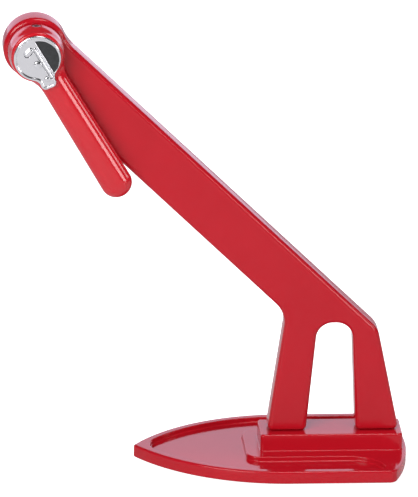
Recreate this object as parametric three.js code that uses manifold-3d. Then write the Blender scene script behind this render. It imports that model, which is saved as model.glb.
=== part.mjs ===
// Table stand with a hand lever: a boat-shaped cast base, a cast stand with two legs
// and a leaning arm, and a lever that turns on a shaft through the stand's head.
// Millimetres, +Z up. The origin is the middle of the base's footprint, on the table.
// +X runs from the tip of the base to its blunt end, and the lever is on the -Y side.
import * as THREE from 'three';
import { mergeVertices } from 'three/addons/utils/BufferGeometryUtils.js';
import Module from 'manifold-3d';

// ---- driving dimensions ----

// fits
const SEAT_GAP = 0.3;         // between two pieces that are seated on each other
const RUNNING_FIT = 0.1;      // radial clearance of the turning shaft
const TRIM_GAP = 0.15;        // round the small rivets of the cap

// base
const BASE_LENGTH = 154;      // to where the curved sides would meet
const BASE_WIDTH = 92;
const SIDE_RADIUS = 103;      // the curved sides that meet at the tip
const END_RADIUS = 115;       // the shallow curve of the blunt end
const TIP_RADIUS = 2;
const END_CORNER_RADIUS = 5;
const UNDERSIDE = 0.6;        // height of the casting's underside over the table
const RIM_TOP = 8;
const RIM_WIDTH = 4.8;
const TRAY_FLOOR = 5.3;
const TRAY_TIP_RADIUS = 14;
const BASE_EDGE = 0.8;        // rounding of the casting's outer edges

// the two steps of the base that carry the stand
const LOWER_STEP_START = 62.7;      // from the tip of the base
const LOWER_STEP_DEPTH = 44.4;
const LOWER_STEP_CORNER = 7.5;
const MOAT_END_MARGIN = 14.5;       // from the blunt end of the base
const UPPER_STEP_SETBACK = 8.3;     // from the lower step's left side
const UPPER_STEP_END_MARGIN = 2.8;  // from the blunt end of the base
const UPPER_STEP_DEPTH = 25.6;
const UPPER_STEP_RISE = 9.5;
const UPPER_STEP_CORNER = 2;

// anti-slip pad in the underside
const PAD_MARGIN = 5;
const PAD_THICKNESS = 1;

// stand
const STAND_THICKNESS = 14.4;
const STAND_EDGE = 1.2;
const FOOT_START = 4.1;       // from the upper step's left side
const FOOT_SPREAD = 74.3;     // over the outer sides of both feet
const LEFT_FOOT_WIDTH = 21.9;
const RIGHT_FOOT_WIDTH = 24.3;
const FOOT_CORNER = 1.5;
const ARCH_RISE = 64.1;       // top of the arch over the feet
const ARCH_TOP_WIDTH = 19.4;
const ARCH_TOP_START = 27.4;  // from the left foot's outer side
const ARCH_CORNER = 9.4;
const ARM_ANGLE = 44;         // degrees over the table
const ARM_WIDTH = 29.3;
const ARM_LENGTH = 212.9;     // along the arm, from the crotch to the shaft
const CROTCH_SHIFT = 9.4;     // from the left foot's outer side
const CROTCH_RISE = 70.1;     // over the feet
const CROTCH_RADIUS = 16;
const SHOULDER_OFFSET = 44;   // along the arm, from the crotch to the shoulder
const SHOULDER_RADIUS = 14;
const HEAD_RADIUS = 17.8;
const HEAD_BLEND = 26;

// fasteners of the stand
const SCREW_RADIUS = 3;
const SCREW_HEAD_RADIUS = 5;
const SCREW_HEAD_HEIGHT = 6;
const SCREW_HEAD_CLEARANCE = 0.6;
const SCREW_INSET = 9.5;      // from the outer side of each foot
const SCREW_BITE = 18;        // thread length inside the leg
const SCREW_SOCKET_RADIUS = 2.9;
const SCREW_SOCKET_DEPTH = 3;
const SCREW_WEB = 8.4;        // metal of the base over the screw's washer
const SPRING_WASHER = 1.5;
const SPRING_WASHER_SLOT = 0.8;
const DOWEL_RADIUS = 2;
const DOWEL_LENGTH = 12;
const DOWEL_SPACING = 7.6;    // screw to dowel, towards the arch

// shaft, bushes, washers and nut
const SHAFT_RADIUS = 5;
const THREAD_RADIUS = 4;
const SHAFT_FLAT = 0.8;       // depth of the flat that the set screw presses on
const SHAFT_IN_HUB = 9.6;
const BUSH_WALL = 1.6;
const BUSH_LENGTH = 6;
const BUSH_FLANGE_RADIUS = 9.6;
const BUSH_FLANGE = 1.2;
const WASHER_RADIUS = 9;
const THRUST_WASHER = 0.8;
const FRICTION_WASHER = 1;
const REAR_WASHER = 1.2;
const NUT_FLATS = 13;
const NUT_HEIGHT = 6.5;
const NUT_DOME_RADIUS = 5.9;
const NUT_DOME_SINK = 0.8;
const NUT_THREAD_DEPTH = 7.5;

// handle
const LEVER_ANGLE = -59.1;    // degrees from +X, as the lever hangs at rest
const LEVER_LENGTH = 88.6;    // from the shaft to the middle of the round end
const LEVER_ROOT_WIDTH = 15.6;
const LEVER_END_RADIUS = 8.8;
const LEVER_THICKNESS = 11.6;
const LEVER_EDGE = 4.4;
const LEVER_BLEND = 14;
const LEVER_SETBACK = 0.2;    // back of the lever from the back of the hub
const HUB_RADIUS = 15.7;
const HUB_STRAIGHT = 5.5;     // straight part of the hub, next to the stand
const HUB_TAPER = 7.4;
const HUB_FRONT_RADIUS = 14.2;
const HUB_EDGE = 0.6;
const SET_SCREW_RADIUS = 2.5;
const SET_SCREW_LENGTH = 10.6;
const SET_SCREW_ANGLE = 149.1;  // degrees from the lever
const SET_SCREW_SOCKET_RADIUS = 1.4;
const SET_SCREW_SOCKET_DEPTH = 2.5;

// cap on the hub
const CAP_RADIUS = 13.1;
const CAP_THICKNESS = 1.7;
const CAP_EDGE = 0.4;
const CAP_TAB_LENGTH = 19;    // from the shaft to the end of the tab
const CAP_TAB_WIDTH = 8.8;
const CAP_TAB_ANGLE = -7.5;    // degrees from the lever
const CAP_TAB_CORNER = 2.8;
const CAP_BLEND = 3;
const SEAT_BORDER = 0.8;      // of the handle, round the cap
const SEAT_HEIGHT = 4;
const DISH_CENTRE = [1.45, 0.24]; // along and across the lever, from the shaft
const DISH_RADIUS = 11;
const DISH_OFFSET = 3.7;      // straight side of the dished part from the shaft
const DISH_DEPTH = 0.8;
const RIB_OFFSET = 1.5;
const RIB_START = -5.6;       // along the lever, from the shaft
const RIB_END = 14.2;
const RIB_WIDTH = 1.2;
const RIB_HEIGHT = 0.6;
const STUB_START = [-5.4, 0.1];  // along and across the lever, from the shaft
const STUB_LENGTH = 4.9;
const STUB_WIDTH = 2.6;
const STUB_ANGLE = -74;       // degrees from the lever
const RIVET_HEAD = 0.5;
const RIVET_LENGTH = 4;
const RIVETS = [
  { name: 'cap_rivet_centre', along: 3.4, across: -1.6, head: 2.2, shank: 1.2 },
  { name: 'cap_rivet_tab', along: 13.3, across: -1.3, head: 1.5, shank: 0.8 },
];

// facets
const ROUND = 48;             // segments of a full turn on shafts and bores
const SMALL_ROUND = 32;
const TINY_ROUND = 16;
const HEXAGON = 6;
const LEVER_EDGE_STEPS = 4;
const ARC_STEP = 12;          // degrees between the points of a rounded corner
const LONG_ARC_STEP = 4;      // degrees between the points of a long curve
const OVERCUT = 5;            // how far a cut runs past the face it opens in

// ---- solids ----

const wasm = await Module();
wasm.setup();

// One closed three.js geometry as a solid.
function solid(geometry) {
  const bare = geometry.clone();
  bare.deleteAttribute('normal');
  bare.deleteAttribute('uv');
  const merged = mergeVertices(bare, 1e-4);
  return new wasm.Manifold(new wasm.Mesh({
    numProp: 3,
    vertProperties: new Float32Array(merged.attributes.position.array),
    triVerts: new Uint32Array(merged.index.array),
  }));
}

// One piece of the object: a named mesh in a group.
function addPiece(group, name, body, colour, roughness, metalness) {
  const made = body.getMesh();
  const geometry = new THREE.BufferGeometry();
  geometry.setAttribute('position', new THREE.BufferAttribute(made.vertProperties, 3));
  geometry.setIndex(new THREE.BufferAttribute(made.triVerts, 1));
  geometry.computeVertexNormals();
  const material = new THREE.MeshStandardMaterial({ color: colour, roughness, metalness });
  const mesh = new THREE.Mesh(geometry, material);
  mesh.name = name;
  group.add(mesh);
}

// A cylinder along +Z from low to high, at a place in plan.
function rod(radius, low, high, segments = ROUND, x = 0, y = 0) {
  const geometry = new THREE.CylinderGeometry(radius, radius, high - low, segments);
  geometry.rotateX(Math.PI / 2);
  geometry.translate(x, y, (low + high) / 2);
  return solid(geometry);
}

// A flat ring along +Z from low to high.
function ring(outer, inner, low, high, segments = ROUND) {
  return rod(outer, low, high, segments).subtract(rod(inner, low - OVERCUT, high + OVERCUT, segments));
}

// A box from its lowest to its highest corner.
function block(low, high) {
  const size = high.map((value, axis) => value - low[axis]);
  const geometry = new THREE.BoxGeometry(...size);
  geometry.translate(...low.map((value, axis) => value + size[axis] / 2));
  return solid(geometry);
}

// An outline raised from low to high along +Z, with rounded edges.
function raised(points, low, high, edge = 0, edgeSteps = 2) {
  const geometry = new THREE.ExtrudeGeometry(new THREE.Shape(points), {
    depth: high - low - 2 * edge,
    bevelEnabled: edge > 0,
    bevelThickness: edge,
    bevelSize: edge,
    bevelOffset: -edge,
    bevelSegments: edgeSteps,
  });
  geometry.translate(0, 0, low + edge);
  return solid(geometry);
}

// ---- outlines ----

const rad = THREE.MathUtils.degToRad;

// A point at a distance from another, in a direction given in radians.
function polar(centre, radius, angle) {
  return new THREE.Vector2(centre.x + radius * Math.cos(angle), centre.y + radius * Math.sin(angle));
}

// Points on an arc, both ends included.
function arc(centre, radius, from, to, step = ARC_STEP) {
  const steps = Math.max(2, Math.ceil(Math.abs(to - from) / rad(step)));
  return Array.from({ length: steps + 1 }, (_, i) => polar(centre, radius, from + (to - from) * i / steps));
}

// A closed outline in which each corner that has a radius r is rounded.
function rounded(corners) {
  return corners.flatMap(({ x, y, r = 0 }, i) => {
    const here = new THREE.Vector2(x, y);
    if (r === 0) return [here];
    const back = here.clone().sub(corners.at(i - 1)).negate().normalize();
    const on = here.clone().sub(corners[(i + 1) % corners.length]).negate().normalize();
    const half = Math.acos(back.dot(on)) / 2;
    const inward = back.clone().add(on).normalize();
    const centre = here.clone().addScaledVector(inward, r / Math.sin(half));
    const first = here.clone().addScaledVector(back, r / Math.tan(half)).sub(centre);
    const last = here.clone().addScaledVector(on, r / Math.tan(half)).sub(centre);
    const turn = Math.atan2(first.cross(last), first.dot(last));
    return arc(centre, r, first.angle(), first.angle() + turn);
  });
}

// The corners of one side of an outline, and the same ones mirrored in the X axis.
function bothSides(side) {
  const other = side.map(({ x, y, r }) => ({ x, y: -y, r })).reverse();
  return [...side, ...other];
}

// A disc with a tab at the cap's angle, as an outline: the tab's sides blend into the disc.
function keyhole(radius, tabLength, tabWidth, tabCorner, blend) {
  const half = tabWidth / 2;
  const reach = Math.sqrt((radius + blend) ** 2 - (half + blend) ** 2);
  const centre = new THREE.Vector2(reach, half + blend);
  const joint = centre.angle();
  const disc = arc({ x: 0, y: 0 }, radius, Math.PI, joint, LONG_ARC_STEP * 2);
  const sweep = arc(centre, blend, joint - Math.PI, -Math.PI / 2);
  const side = [...disc.slice(1), ...sweep.slice(1), { x: tabLength, y: half, r: tabCorner }];
  const origin = new THREE.Vector2();
  return rounded([{ x: -radius, y: 0 }, ...bothSides(side)])
    .map((point) => point.rotateAround(origin, rad(CAP_TAB_ANGLE)));
}

// ---- base ----

const base = new THREE.Group();

const tipX = -BASE_LENGTH / 2;
const endX = BASE_LENGTH / 2;
const lowerStepX = tipX + LOWER_STEP_START;
const upperStepX = lowerStepX + UPPER_STEP_SETBACK;
const upperStepTop = RIM_TOP + UPPER_STEP_RISE;
const feetBottom = upperStepTop + SEAT_GAP;
const feetX = upperStepX + FOOT_START;
const feetEndX = feetX + FOOT_SPREAD;

// The plan of the base, drawn in by an inset: two curved sides with a rounded tip
// between them, two straight ones, and the shallow curve of the blunt end.
function basePlan(inset, tipRadius, cornerRadius) {
  const centreY = BASE_WIDTH / 2 - SIDE_RADIUS;
  const centreX = tipX + Math.sqrt(SIDE_RADIUS ** 2 - centreY ** 2);
  const radius = SIDE_RADIUS - inset;
  const tipCentre = { x: centreX - Math.sqrt((radius - tipRadius) ** 2 - centreY ** 2), y: 0 };
  const tangent = Math.atan2(-centreY, tipCentre.x - centreX);
  const tip = arc(tipCentre, tipRadius, Math.PI, tangent).slice(1);
  const side = arc({ x: centreX, y: centreY }, radius, tangent, Math.PI / 2, LONG_ARC_STEP).slice(1);
  const half = BASE_WIDTH / 2 - inset;
  const endCentre = { x: endX - END_RADIUS, y: 0 };
  const endRadius = END_RADIUS - inset;
  const cornerAngle = Math.asin(half / endRadius);
  const corner = { ...polar(endCentre, endRadius, cornerAngle), r: cornerRadius };
  const end = arc(endCentre, endRadius, cornerAngle, 0, LONG_ARC_STEP).slice(1, -1);
  const upper = [...tip, ...side, corner, ...end];
  const nose = { x: tipCentre.x - tipRadius, y: 0 };
  return rounded([nose, ...upper, { x: endX - inset, y: 0 }, ...bothSides(upper).slice(upper.length)]);
}

// The plan of the lower step. It runs out into the blunt end, and the moat beside it
// ends in a wide round on each side.
function lowerStepPlan() {
  const half = LOWER_STEP_DEPTH / 2;
  const moatY = BASE_WIDTH / 2 - RIM_WIDTH;
  const moatEndX = endX - MOAT_END_MARGIN;
  const sweep = moatY - half;
  const moatEnd = arc({ x: moatEndX - sweep, y: moatY }, sweep, -Math.PI / 2, 0);
  const side = [
    { x: lowerStepX, y: half, r: LOWER_STEP_CORNER },
    ...moatEnd,
    { x: moatEndX, y: BASE_WIDTH },
    { x: BASE_LENGTH, y: BASE_WIDTH },
  ];
  return rounded(bothSides(side));
}

const upperStepHalf = UPPER_STEP_DEPTH / 2;
const upperStepPlan = rounded(bothSides([
  { x: upperStepX, y: upperStepHalf, r: UPPER_STEP_CORNER },
  { x: endX - UPPER_STEP_END_MARGIN, y: upperStepHalf, r: UPPER_STEP_CORNER },
]));

// Each foot has a screw from below and a dowel, in line along the stand.
const feet = [
  { side: 'left', screwX: feetX + SCREW_INSET, dowelX: feetX + SCREW_INSET + DOWEL_SPACING },
  { side: 'right', screwX: feetEndX - SCREW_INSET, dowelX: feetEndX - SCREW_INSET - DOWEL_SPACING },
];
const screwSeat = upperStepTop - SCREW_WEB;
const washerLow = screwSeat - SEAT_GAP - SPRING_WASHER;
const screwHeadTop = washerLow - SEAT_GAP;
const screwHeadLow = screwHeadTop - SCREW_HEAD_HEIGHT;
const counterboreRadius = SCREW_HEAD_RADIUS + SCREW_HEAD_CLEARANCE;
const dowelLow = (upperStepTop + feetBottom - DOWEL_LENGTH) / 2;
const dowelHigh = dowelLow + DOWEL_LENGTH;

const trayPlan = basePlan(RIM_WIDTH, TRAY_TIP_RADIUS, END_CORNER_RADIUS);
const padPocket = PAD_THICKNESS + SEAT_GAP;
let plate = raised(basePlan(0, TIP_RADIUS, END_CORNER_RADIUS), UNDERSIDE, RIM_TOP, BASE_EDGE)
  .subtract(raised(trayPlan, TRAY_FLOOR, RIM_TOP + OVERCUT)
    .subtract(raised(lowerStepPlan(), 0, RIM_TOP + 2 * OVERCUT)))
  .add(raised(upperStepPlan, TRAY_FLOOR, upperStepTop, BASE_EDGE))
  .subtract(raised(basePlan(PAD_MARGIN, TIP_RADIUS, END_CORNER_RADIUS), UNDERSIDE - OVERCUT, padPocket));
let pad = raised(basePlan(PAD_MARGIN + SEAT_GAP, TIP_RADIUS, END_CORNER_RADIUS), 0, PAD_THICKNESS);
for (const { screwX, dowelX } of feet) {
  plate = plate
    .subtract(rod(SCREW_RADIUS + SEAT_GAP, 0, upperStepTop + OVERCUT, SMALL_ROUND, screwX))
    .subtract(rod(counterboreRadius, 0, screwSeat, SMALL_ROUND, screwX))
    .subtract(rod(DOWEL_RADIUS + SEAT_GAP, dowelLow - SEAT_GAP, upperStepTop + OVERCUT, SMALL_ROUND, dowelX));
  pad = pad.subtract(rod(counterboreRadius, -OVERCUT, PAD_THICKNESS + OVERCUT, SMALL_ROUND, screwX));
}
addPiece(base, 'base_plate', plate, '#b3202f', 0.12, 0);
addPiece(base, 'base_pad', pad, '#232325', 0.85, 0);

for (const { side, screwX, dowelX } of feet) {
  const socket = rod(SCREW_SOCKET_RADIUS, screwHeadLow - OVERCUT, screwHeadLow + SCREW_SOCKET_DEPTH, 6, screwX);
  const screw = rod(SCREW_HEAD_RADIUS, screwHeadLow, screwHeadTop, SMALL_ROUND, screwX)
    .add(rod(SCREW_RADIUS, screwHeadLow + SCREW_SOCKET_DEPTH, feetBottom + SCREW_BITE, SMALL_ROUND, screwX))
    .subtract(socket);
  addPiece(base, `stand_screw_${side}`, screw, '#3a3b3e', 0.4, 1);

  const slit = block(
    [screwX, -SPRING_WASHER_SLOT / 2, washerLow - OVERCUT],
    [screwX + 2 * SCREW_HEAD_RADIUS, SPRING_WASHER_SLOT / 2, screwSeat + OVERCUT],
  );
  const washer = rod(SCREW_HEAD_RADIUS, washerLow, washerLow + SPRING_WASHER, SMALL_ROUND, screwX)
    .subtract(rod(SCREW_RADIUS + SEAT_GAP, 0, upperStepTop, SMALL_ROUND, screwX))
    .subtract(slit);
  addPiece(base, `spring_washer_${side}`, washer, '#8d9094', 0.35, 1);

  addPiece(base, `dowel_${side}`, rod(DOWEL_RADIUS, dowelLow, dowelHigh, SMALL_ROUND, dowelX), '#b4b7ba', 0.25, 1);
}

// ---- stand ----

// Drawn in its own plane: x along the base, y up, z towards the lever.
const upright = new THREE.Group();
upright.rotation.x = Math.PI / 2;

const armDown = polar({ x: 0, y: 0 }, 1, rad(-ARM_ANGLE));
const armAcross = polar({ x: 0, y: 0 }, 1, rad(90 - ARM_ANGLE));
const armHalf = ARM_WIDTH / 2;
const crotch = new THREE.Vector2(feetX + CROTCH_SHIFT, feetBottom + CROTCH_RISE);
const shaftAxis = crotch.clone().addScaledVector(armDown, -ARM_LENGTH).addScaledVector(armAcross, armHalf);
const shoulder = crotch.clone().addScaledVector(armDown, SHOULDER_OFFSET).addScaledVector(armAcross, ARM_WIDTH);
const archTop = feetBottom + ARCH_RISE;
const archX = feetX + ARCH_TOP_START;

// The head is a disc on the end of the arm, and blends into the arm's two sides.
function headOutline() {
  const reach = Math.sqrt((HEAD_RADIUS + HEAD_BLEND) ** 2 - (armHalf + HEAD_BLEND) ** 2);
  const joint = Math.atan2(armHalf + HEAD_BLEND, reach);
  const down = rad(-ARM_ANGLE);
  const blend = (side) => {
    const centre = shaftAxis.clone().addScaledVector(armDown, reach)
      .addScaledVector(armAcross, side * (armHalf + HEAD_BLEND));
    return arc(centre, HEAD_BLEND, down - side * Math.PI / 2, down + side * (joint - Math.PI));
  };
  const disc = arc(shaftAxis, HEAD_RADIUS, down + joint, down + 2 * Math.PI - joint, LONG_ARC_STEP * 2);
  return [...blend(1), ...disc.slice(1, -1), ...blend(-1).reverse()];
}

const standOutline = rounded([
  { x: feetX, y: feetBottom, r: FOOT_CORNER },
  { x: feetX + LEFT_FOOT_WIDTH, y: feetBottom, r: FOOT_CORNER },
  { x: archX, y: archTop, r: ARCH_CORNER },
  { x: archX + ARCH_TOP_WIDTH, y: archTop, r: ARCH_CORNER },
  { x: feetEndX - RIGHT_FOOT_WIDTH, y: feetBottom, r: FOOT_CORNER },
  { x: feetEndX, y: feetBottom, r: FOOT_CORNER },
  { x: shoulder.x, y: shoulder.y, r: SHOULDER_RADIUS },
  ...headOutline(),
  { x: crotch.x, y: crotch.y, r: CROTCH_RADIUS },
]);

const face = STAND_THICKNESS / 2;
const bushRadius = SHAFT_RADIUS + RUNNING_FIT + BUSH_WALL;

// A solid drawn along +Z, moved onto the shaft's axis.
function onShaft(radius, low, high) {
  return rod(radius, low, high, ROUND, shaftAxis.x, shaftAxis.y);
}

// A hole up into the leg, for a screw or a dowel.
function legHole(radius, x, top) {
  const geometry = new THREE.CylinderGeometry(radius, radius, top - feetBottom + OVERCUT, SMALL_ROUND);
  geometry.translate(x, (top + feetBottom - OVERCUT) / 2, 0);
  return solid(geometry);
}

let frame = raised(standOutline, -face, face, STAND_EDGE)
  .subtract(onShaft(bushRadius + SEAT_GAP, -face - OVERCUT, face + OVERCUT));
for (const side of [-1, 1]) {
  const depth = side * (face - BUSH_FLANGE - SEAT_GAP);
  const open = side * (face + OVERCUT);
  frame = frame.subtract(onShaft(BUSH_FLANGE_RADIUS + SEAT_GAP, Math.min(depth, open), Math.max(depth, open)));
}
for (const { screwX, dowelX } of feet) {
  frame = frame
    .subtract(legHole(SCREW_RADIUS + SEAT_GAP, screwX, feetBottom + SCREW_BITE + SEAT_GAP))
    .subtract(legHole(DOWEL_RADIUS + SEAT_GAP, dowelX, dowelHigh + SEAT_GAP));
}
addPiece(upright, 'stand_frame', frame, '#b3202f', 0.16, 0);

// ---- bushes, shaft, washers and nut ----

// Drawn on the shaft's axis, +Z towards the lever, from the middle of the stand.
const onAxis = new THREE.Group();
onAxis.position.set(shaftAxis.x, shaftAxis.y, 0);
upright.add(onAxis);

const boreRadius = SHAFT_RADIUS + RUNNING_FIT;
for (const [name, side] of [['bush_front', 1], ['bush_rear', -1]]) {
  const span = (from, to) => [Math.min(side * from, side * to), Math.max(side * from, side * to)];
  const bush = rod(bushRadius, ...span(face - BUSH_LENGTH, face))
    .add(rod(BUSH_FLANGE_RADIUS, ...span(face - BUSH_FLANGE, face)))
    .subtract(rod(boreRadius, -face - OVERCUT, face + OVERCUT));
  addPiece(onAxis, name, bush, '#b08a4a', 0.4, 1);
}

const thrustLow = face + SEAT_GAP;
const hubBack = thrustLow + THRUST_WASHER + SEAT_GAP;
const hubStraightEnd = hubBack + HUB_STRAIGHT;
const hubFront = hubStraightEnd + HUB_TAPER;
const frictionHigh = -face - SEAT_GAP;
const shaftShoulder = frictionHigh - FRICTION_WASHER;
const rearWasherHigh = shaftShoulder - SEAT_GAP;
const nutHigh = rearWasherHigh - REAR_WASHER - SEAT_GAP;
const threadEnd = nutHigh - NUT_THREAD_DEPTH;
const shaftEnd = hubBack + SHAFT_IN_HUB;

addPiece(onAxis, 'thrust_washer',
  ring(WASHER_RADIUS, SHAFT_RADIUS + SEAT_GAP, thrustLow, thrustLow + THRUST_WASHER), '#c3c6c9', 0.3, 1);
addPiece(onAxis, 'friction_washer',
  ring(WASHER_RADIUS, SHAFT_RADIUS + SEAT_GAP, shaftShoulder, frictionHigh), '#e2dccb', 0.55, 0);
addPiece(onAxis, 'rear_washer',
  ring(WASHER_RADIUS, THREAD_RADIUS + SEAT_GAP, rearWasherHigh - REAR_WASHER, rearWasherHigh), '#c3c6c9', 0.3, 1);

const nutLow = nutHigh - NUT_HEIGHT;
const dome = new THREE.SphereGeometry(NUT_DOME_RADIUS, SMALL_ROUND, TINY_ROUND);
dome.rotateX(Math.PI / 2);
dome.translate(0, 0, nutLow + NUT_DOME_SINK);
const nut = rod(NUT_FLATS / Math.sqrt(3), nutLow, nutHigh, HEXAGON)
  .add(solid(dome).subtract(block([-NUT_FLATS, -NUT_FLATS, nutHigh], [NUT_FLATS, NUT_FLATS, nutHigh + NUT_FLATS])))
  .subtract(rod(THREAD_RADIUS + SEAT_GAP, threadEnd - SEAT_GAP, nutHigh + OVERCUT));
addPiece(onAxis, 'dome_nut', nut, '#d4d6d8', 0.15, 1);

// ---- handle ----

// Drawn with the lever along +X, and turned to where it hangs.
const crank = new THREE.Group();
crank.rotation.z = rad(LEVER_ANGLE);
onAxis.add(crank);

// A piece that lies across the shaft, at the set screw, in from its outer end.
function setScrewRod(radius, inner, outer, segments) {
  const geometry = new THREE.CylinderGeometry(radius, radius, outer - inner, segments);
  geometry.translate(0, (inner + outer) / 2, 0);
  geometry.rotateZ(rad(SET_SCREW_ANGLE - 90));
  geometry.translate(0, 0, hubBack + HUB_STRAIGHT / 2);
  return solid(geometry);
}

const flatRadius = SHAFT_RADIUS - SHAFT_FLAT;
const flatCut = new THREE.BoxGeometry(2 * SHAFT_RADIUS, 2 * SHAFT_RADIUS, 2 * SHAFT_IN_HUB);
flatCut.translate(0, flatRadius + SHAFT_RADIUS, shaftEnd);
flatCut.rotateZ(rad(SET_SCREW_ANGLE - 90));
const shaft = rod(SHAFT_RADIUS, shaftShoulder, shaftEnd)
  .add(rod(THREAD_RADIUS, threadEnd, shaftEnd))
  .subtract(solid(flatCut));
addPiece(crank, 'crank_shaft', shaft, '#b9bcc0', 0.25, 1);

// The lever widens a little from the hub to its round end.
function leverOutline() {
  const rootHalf = LEVER_ROOT_WIDTH / 2;
  const spread = Math.asin((LEVER_END_RADIUS - rootHalf) / LEVER_LENGTH);
  const reach = Math.sqrt((HUB_FRONT_RADIUS + LEVER_BLEND) ** 2 - (rootHalf + LEVER_BLEND) ** 2);
  const centre = new THREE.Vector2(reach, rootHalf + LEVER_BLEND);
  const joint = centre.angle();
  const hub = arc({ x: 0, y: 0 }, HUB_FRONT_RADIUS, Math.PI, joint, LONG_ARC_STEP * 2);
  const sweep = arc(centre, LEVER_BLEND, joint - Math.PI, spread - Math.PI / 2);
  const end = arc({ x: LEVER_LENGTH, y: 0 }, LEVER_END_RADIUS, Math.PI / 2 + spread, 0);
  const tip = { x: LEVER_LENGTH + LEVER_END_RADIUS, y: 0 };
  const side = [...hub.slice(1), ...sweep.slice(1), ...end.slice(0, -1)];
  return rounded([{ x: -HUB_FRONT_RADIUS, y: 0 }, ...side, tip, ...bothSides(side).slice(side.length)]);
}

const hubProfile = [
  [0, hubBack],
  [HUB_RADIUS - HUB_EDGE, hubBack],
  [HUB_RADIUS, hubBack + HUB_EDGE],
  [HUB_RADIUS, hubStraightEnd],
  [HUB_FRONT_RADIUS, hubFront - HUB_EDGE],
  [HUB_FRONT_RADIUS - HUB_EDGE, hubFront],
  [0, hubFront],
].map(([radius, along]) => new THREE.Vector2(radius, along));
const hubTurned = new THREE.LatheGeometry(hubProfile, ROUND);
hubTurned.rotateX(Math.PI / 2);

const leverLow = hubBack + LEVER_SETBACK;
const leverHigh = leverLow + LEVER_THICKNESS;
const capLow = hubFront + SEAT_GAP;
const capHigh = capLow + CAP_THICKNESS;
const setScrewInner = flatRadius + SEAT_GAP;
const seatPlan = keyhole(CAP_RADIUS + SEAT_BORDER, CAP_TAB_LENGTH + SEAT_BORDER, CAP_TAB_WIDTH + 2 * SEAT_BORDER,
  CAP_TAB_CORNER + SEAT_BORDER, CAP_BLEND);

let handle = solid(hubTurned)
  .add(raised(leverOutline(), leverLow, leverHigh, LEVER_EDGE, LEVER_EDGE_STEPS))
  .add(raised(seatPlan, hubFront - SEAT_HEIGHT, hubFront))
  .subtract(rod(SHAFT_RADIUS + SEAT_GAP, hubBack - OVERCUT, shaftEnd + SEAT_GAP))
  .subtract(setScrewRod(SET_SCREW_RADIUS + SEAT_GAP, 0, HUB_RADIUS + OVERCUT, SMALL_ROUND));
let cap = raised(keyhole(CAP_RADIUS, CAP_TAB_LENGTH, CAP_TAB_WIDTH, CAP_TAB_CORNER, CAP_BLEND),
  capLow, capHigh, CAP_EDGE);

// The cap is dished on one side of its rib, inside its rim.
const dish = rod(DISH_RADIUS, capHigh - DISH_DEPTH, capHigh + OVERCUT, ROUND, ...DISH_CENTRE)
  .intersect(block([-CAP_RADIUS, DISH_OFFSET, capHigh - DISH_DEPTH], [CAP_RADIUS, CAP_RADIUS, capHigh + OVERCUT]));
const rib = block(
  [RIB_START, RIB_OFFSET - RIB_WIDTH / 2, capHigh - CAP_EDGE],
  [RIB_END, RIB_OFFSET + RIB_WIDTH / 2, capHigh + RIB_HEIGHT],
);
const stub = new THREE.BoxGeometry(STUB_LENGTH, STUB_WIDTH, RIB_HEIGHT + CAP_EDGE);
stub.translate(STUB_LENGTH / 2, 0, capHigh + (RIB_HEIGHT - CAP_EDGE) / 2);
stub.rotateZ(rad(STUB_ANGLE));
stub.translate(...STUB_START, 0);
cap = cap.subtract(dish).add(rib).add(solid(stub));

for (const { name, along, across, head, shank } of RIVETS) {
  const headLow = capHigh + TRIM_GAP;
  const shankLow = capHigh - RIVET_LENGTH;
  const rivet = rod(head, headLow, headLow + RIVET_HEAD, SMALL_ROUND, along, across)
    .add(rod(shank, shankLow, headLow + RIVET_HEAD / 2, TINY_ROUND, along, across));
  const hole = rod(shank + TRIM_GAP, shankLow - TRIM_GAP, capHigh + OVERCUT, TINY_ROUND, along, across);
  handle = handle.subtract(hole);
  cap = cap.subtract(hole);
  addPiece(crank, name, rivet, '#d9dadc', 0.12, 1);
}
addPiece(crank, 'crank_handle', handle, '#c4202e', 0.08, 0);
addPiece(crank, 'cap_plate', cap, '#dcdde0', 0.08, 1);

const setScrewOuter = setScrewInner + SET_SCREW_LENGTH;
const setScrew = setScrewRod(SET_SCREW_RADIUS, setScrewInner, setScrewOuter, SMALL_ROUND)
  .subtract(setScrewRod(SET_SCREW_SOCKET_RADIUS, setScrewOuter - SET_SCREW_SOCKET_DEPTH, setScrewOuter + OVERCUT, HEXAGON));
addPiece(crank, 'set_screw', setScrew, '#8f9296', 0.3, 1);

const standWithLever = new THREE.Group();
standWithLever.add(base, upright);

export default standWithLever;
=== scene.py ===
import math

import bmesh
import bpy
import numpy as np
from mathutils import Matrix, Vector


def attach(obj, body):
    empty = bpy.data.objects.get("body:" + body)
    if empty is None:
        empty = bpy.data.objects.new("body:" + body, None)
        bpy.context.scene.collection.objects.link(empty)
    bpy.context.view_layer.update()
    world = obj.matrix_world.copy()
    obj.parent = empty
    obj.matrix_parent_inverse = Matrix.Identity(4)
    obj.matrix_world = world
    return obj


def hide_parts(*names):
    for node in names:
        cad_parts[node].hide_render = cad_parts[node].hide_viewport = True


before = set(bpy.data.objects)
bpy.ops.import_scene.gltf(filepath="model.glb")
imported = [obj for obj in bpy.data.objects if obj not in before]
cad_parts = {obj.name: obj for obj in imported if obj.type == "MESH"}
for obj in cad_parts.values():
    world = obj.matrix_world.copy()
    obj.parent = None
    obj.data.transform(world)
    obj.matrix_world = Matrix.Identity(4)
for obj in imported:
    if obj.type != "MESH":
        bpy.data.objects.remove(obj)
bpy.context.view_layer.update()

# ---- Camera ----
# A long lens from the lever's side, a little to the left and 20 degrees up, with the
# camera turned slightly on its own axis. Metres and degrees.
CAMERA_AIM = Vector((-0.0362, 0.0, 0.12506))
CAMERA_DISTANCE = 6.0
CAMERA_AZIMUTH = -4.85
CAMERA_ELEVATION = 20.0
CAMERA_ROLL = 1.1
CAMERA_SENSOR = 36.0          # millimetres, along the long side of the picture
FIELD_HEIGHT = 0.2783         # seen along that side, at the object

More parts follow.
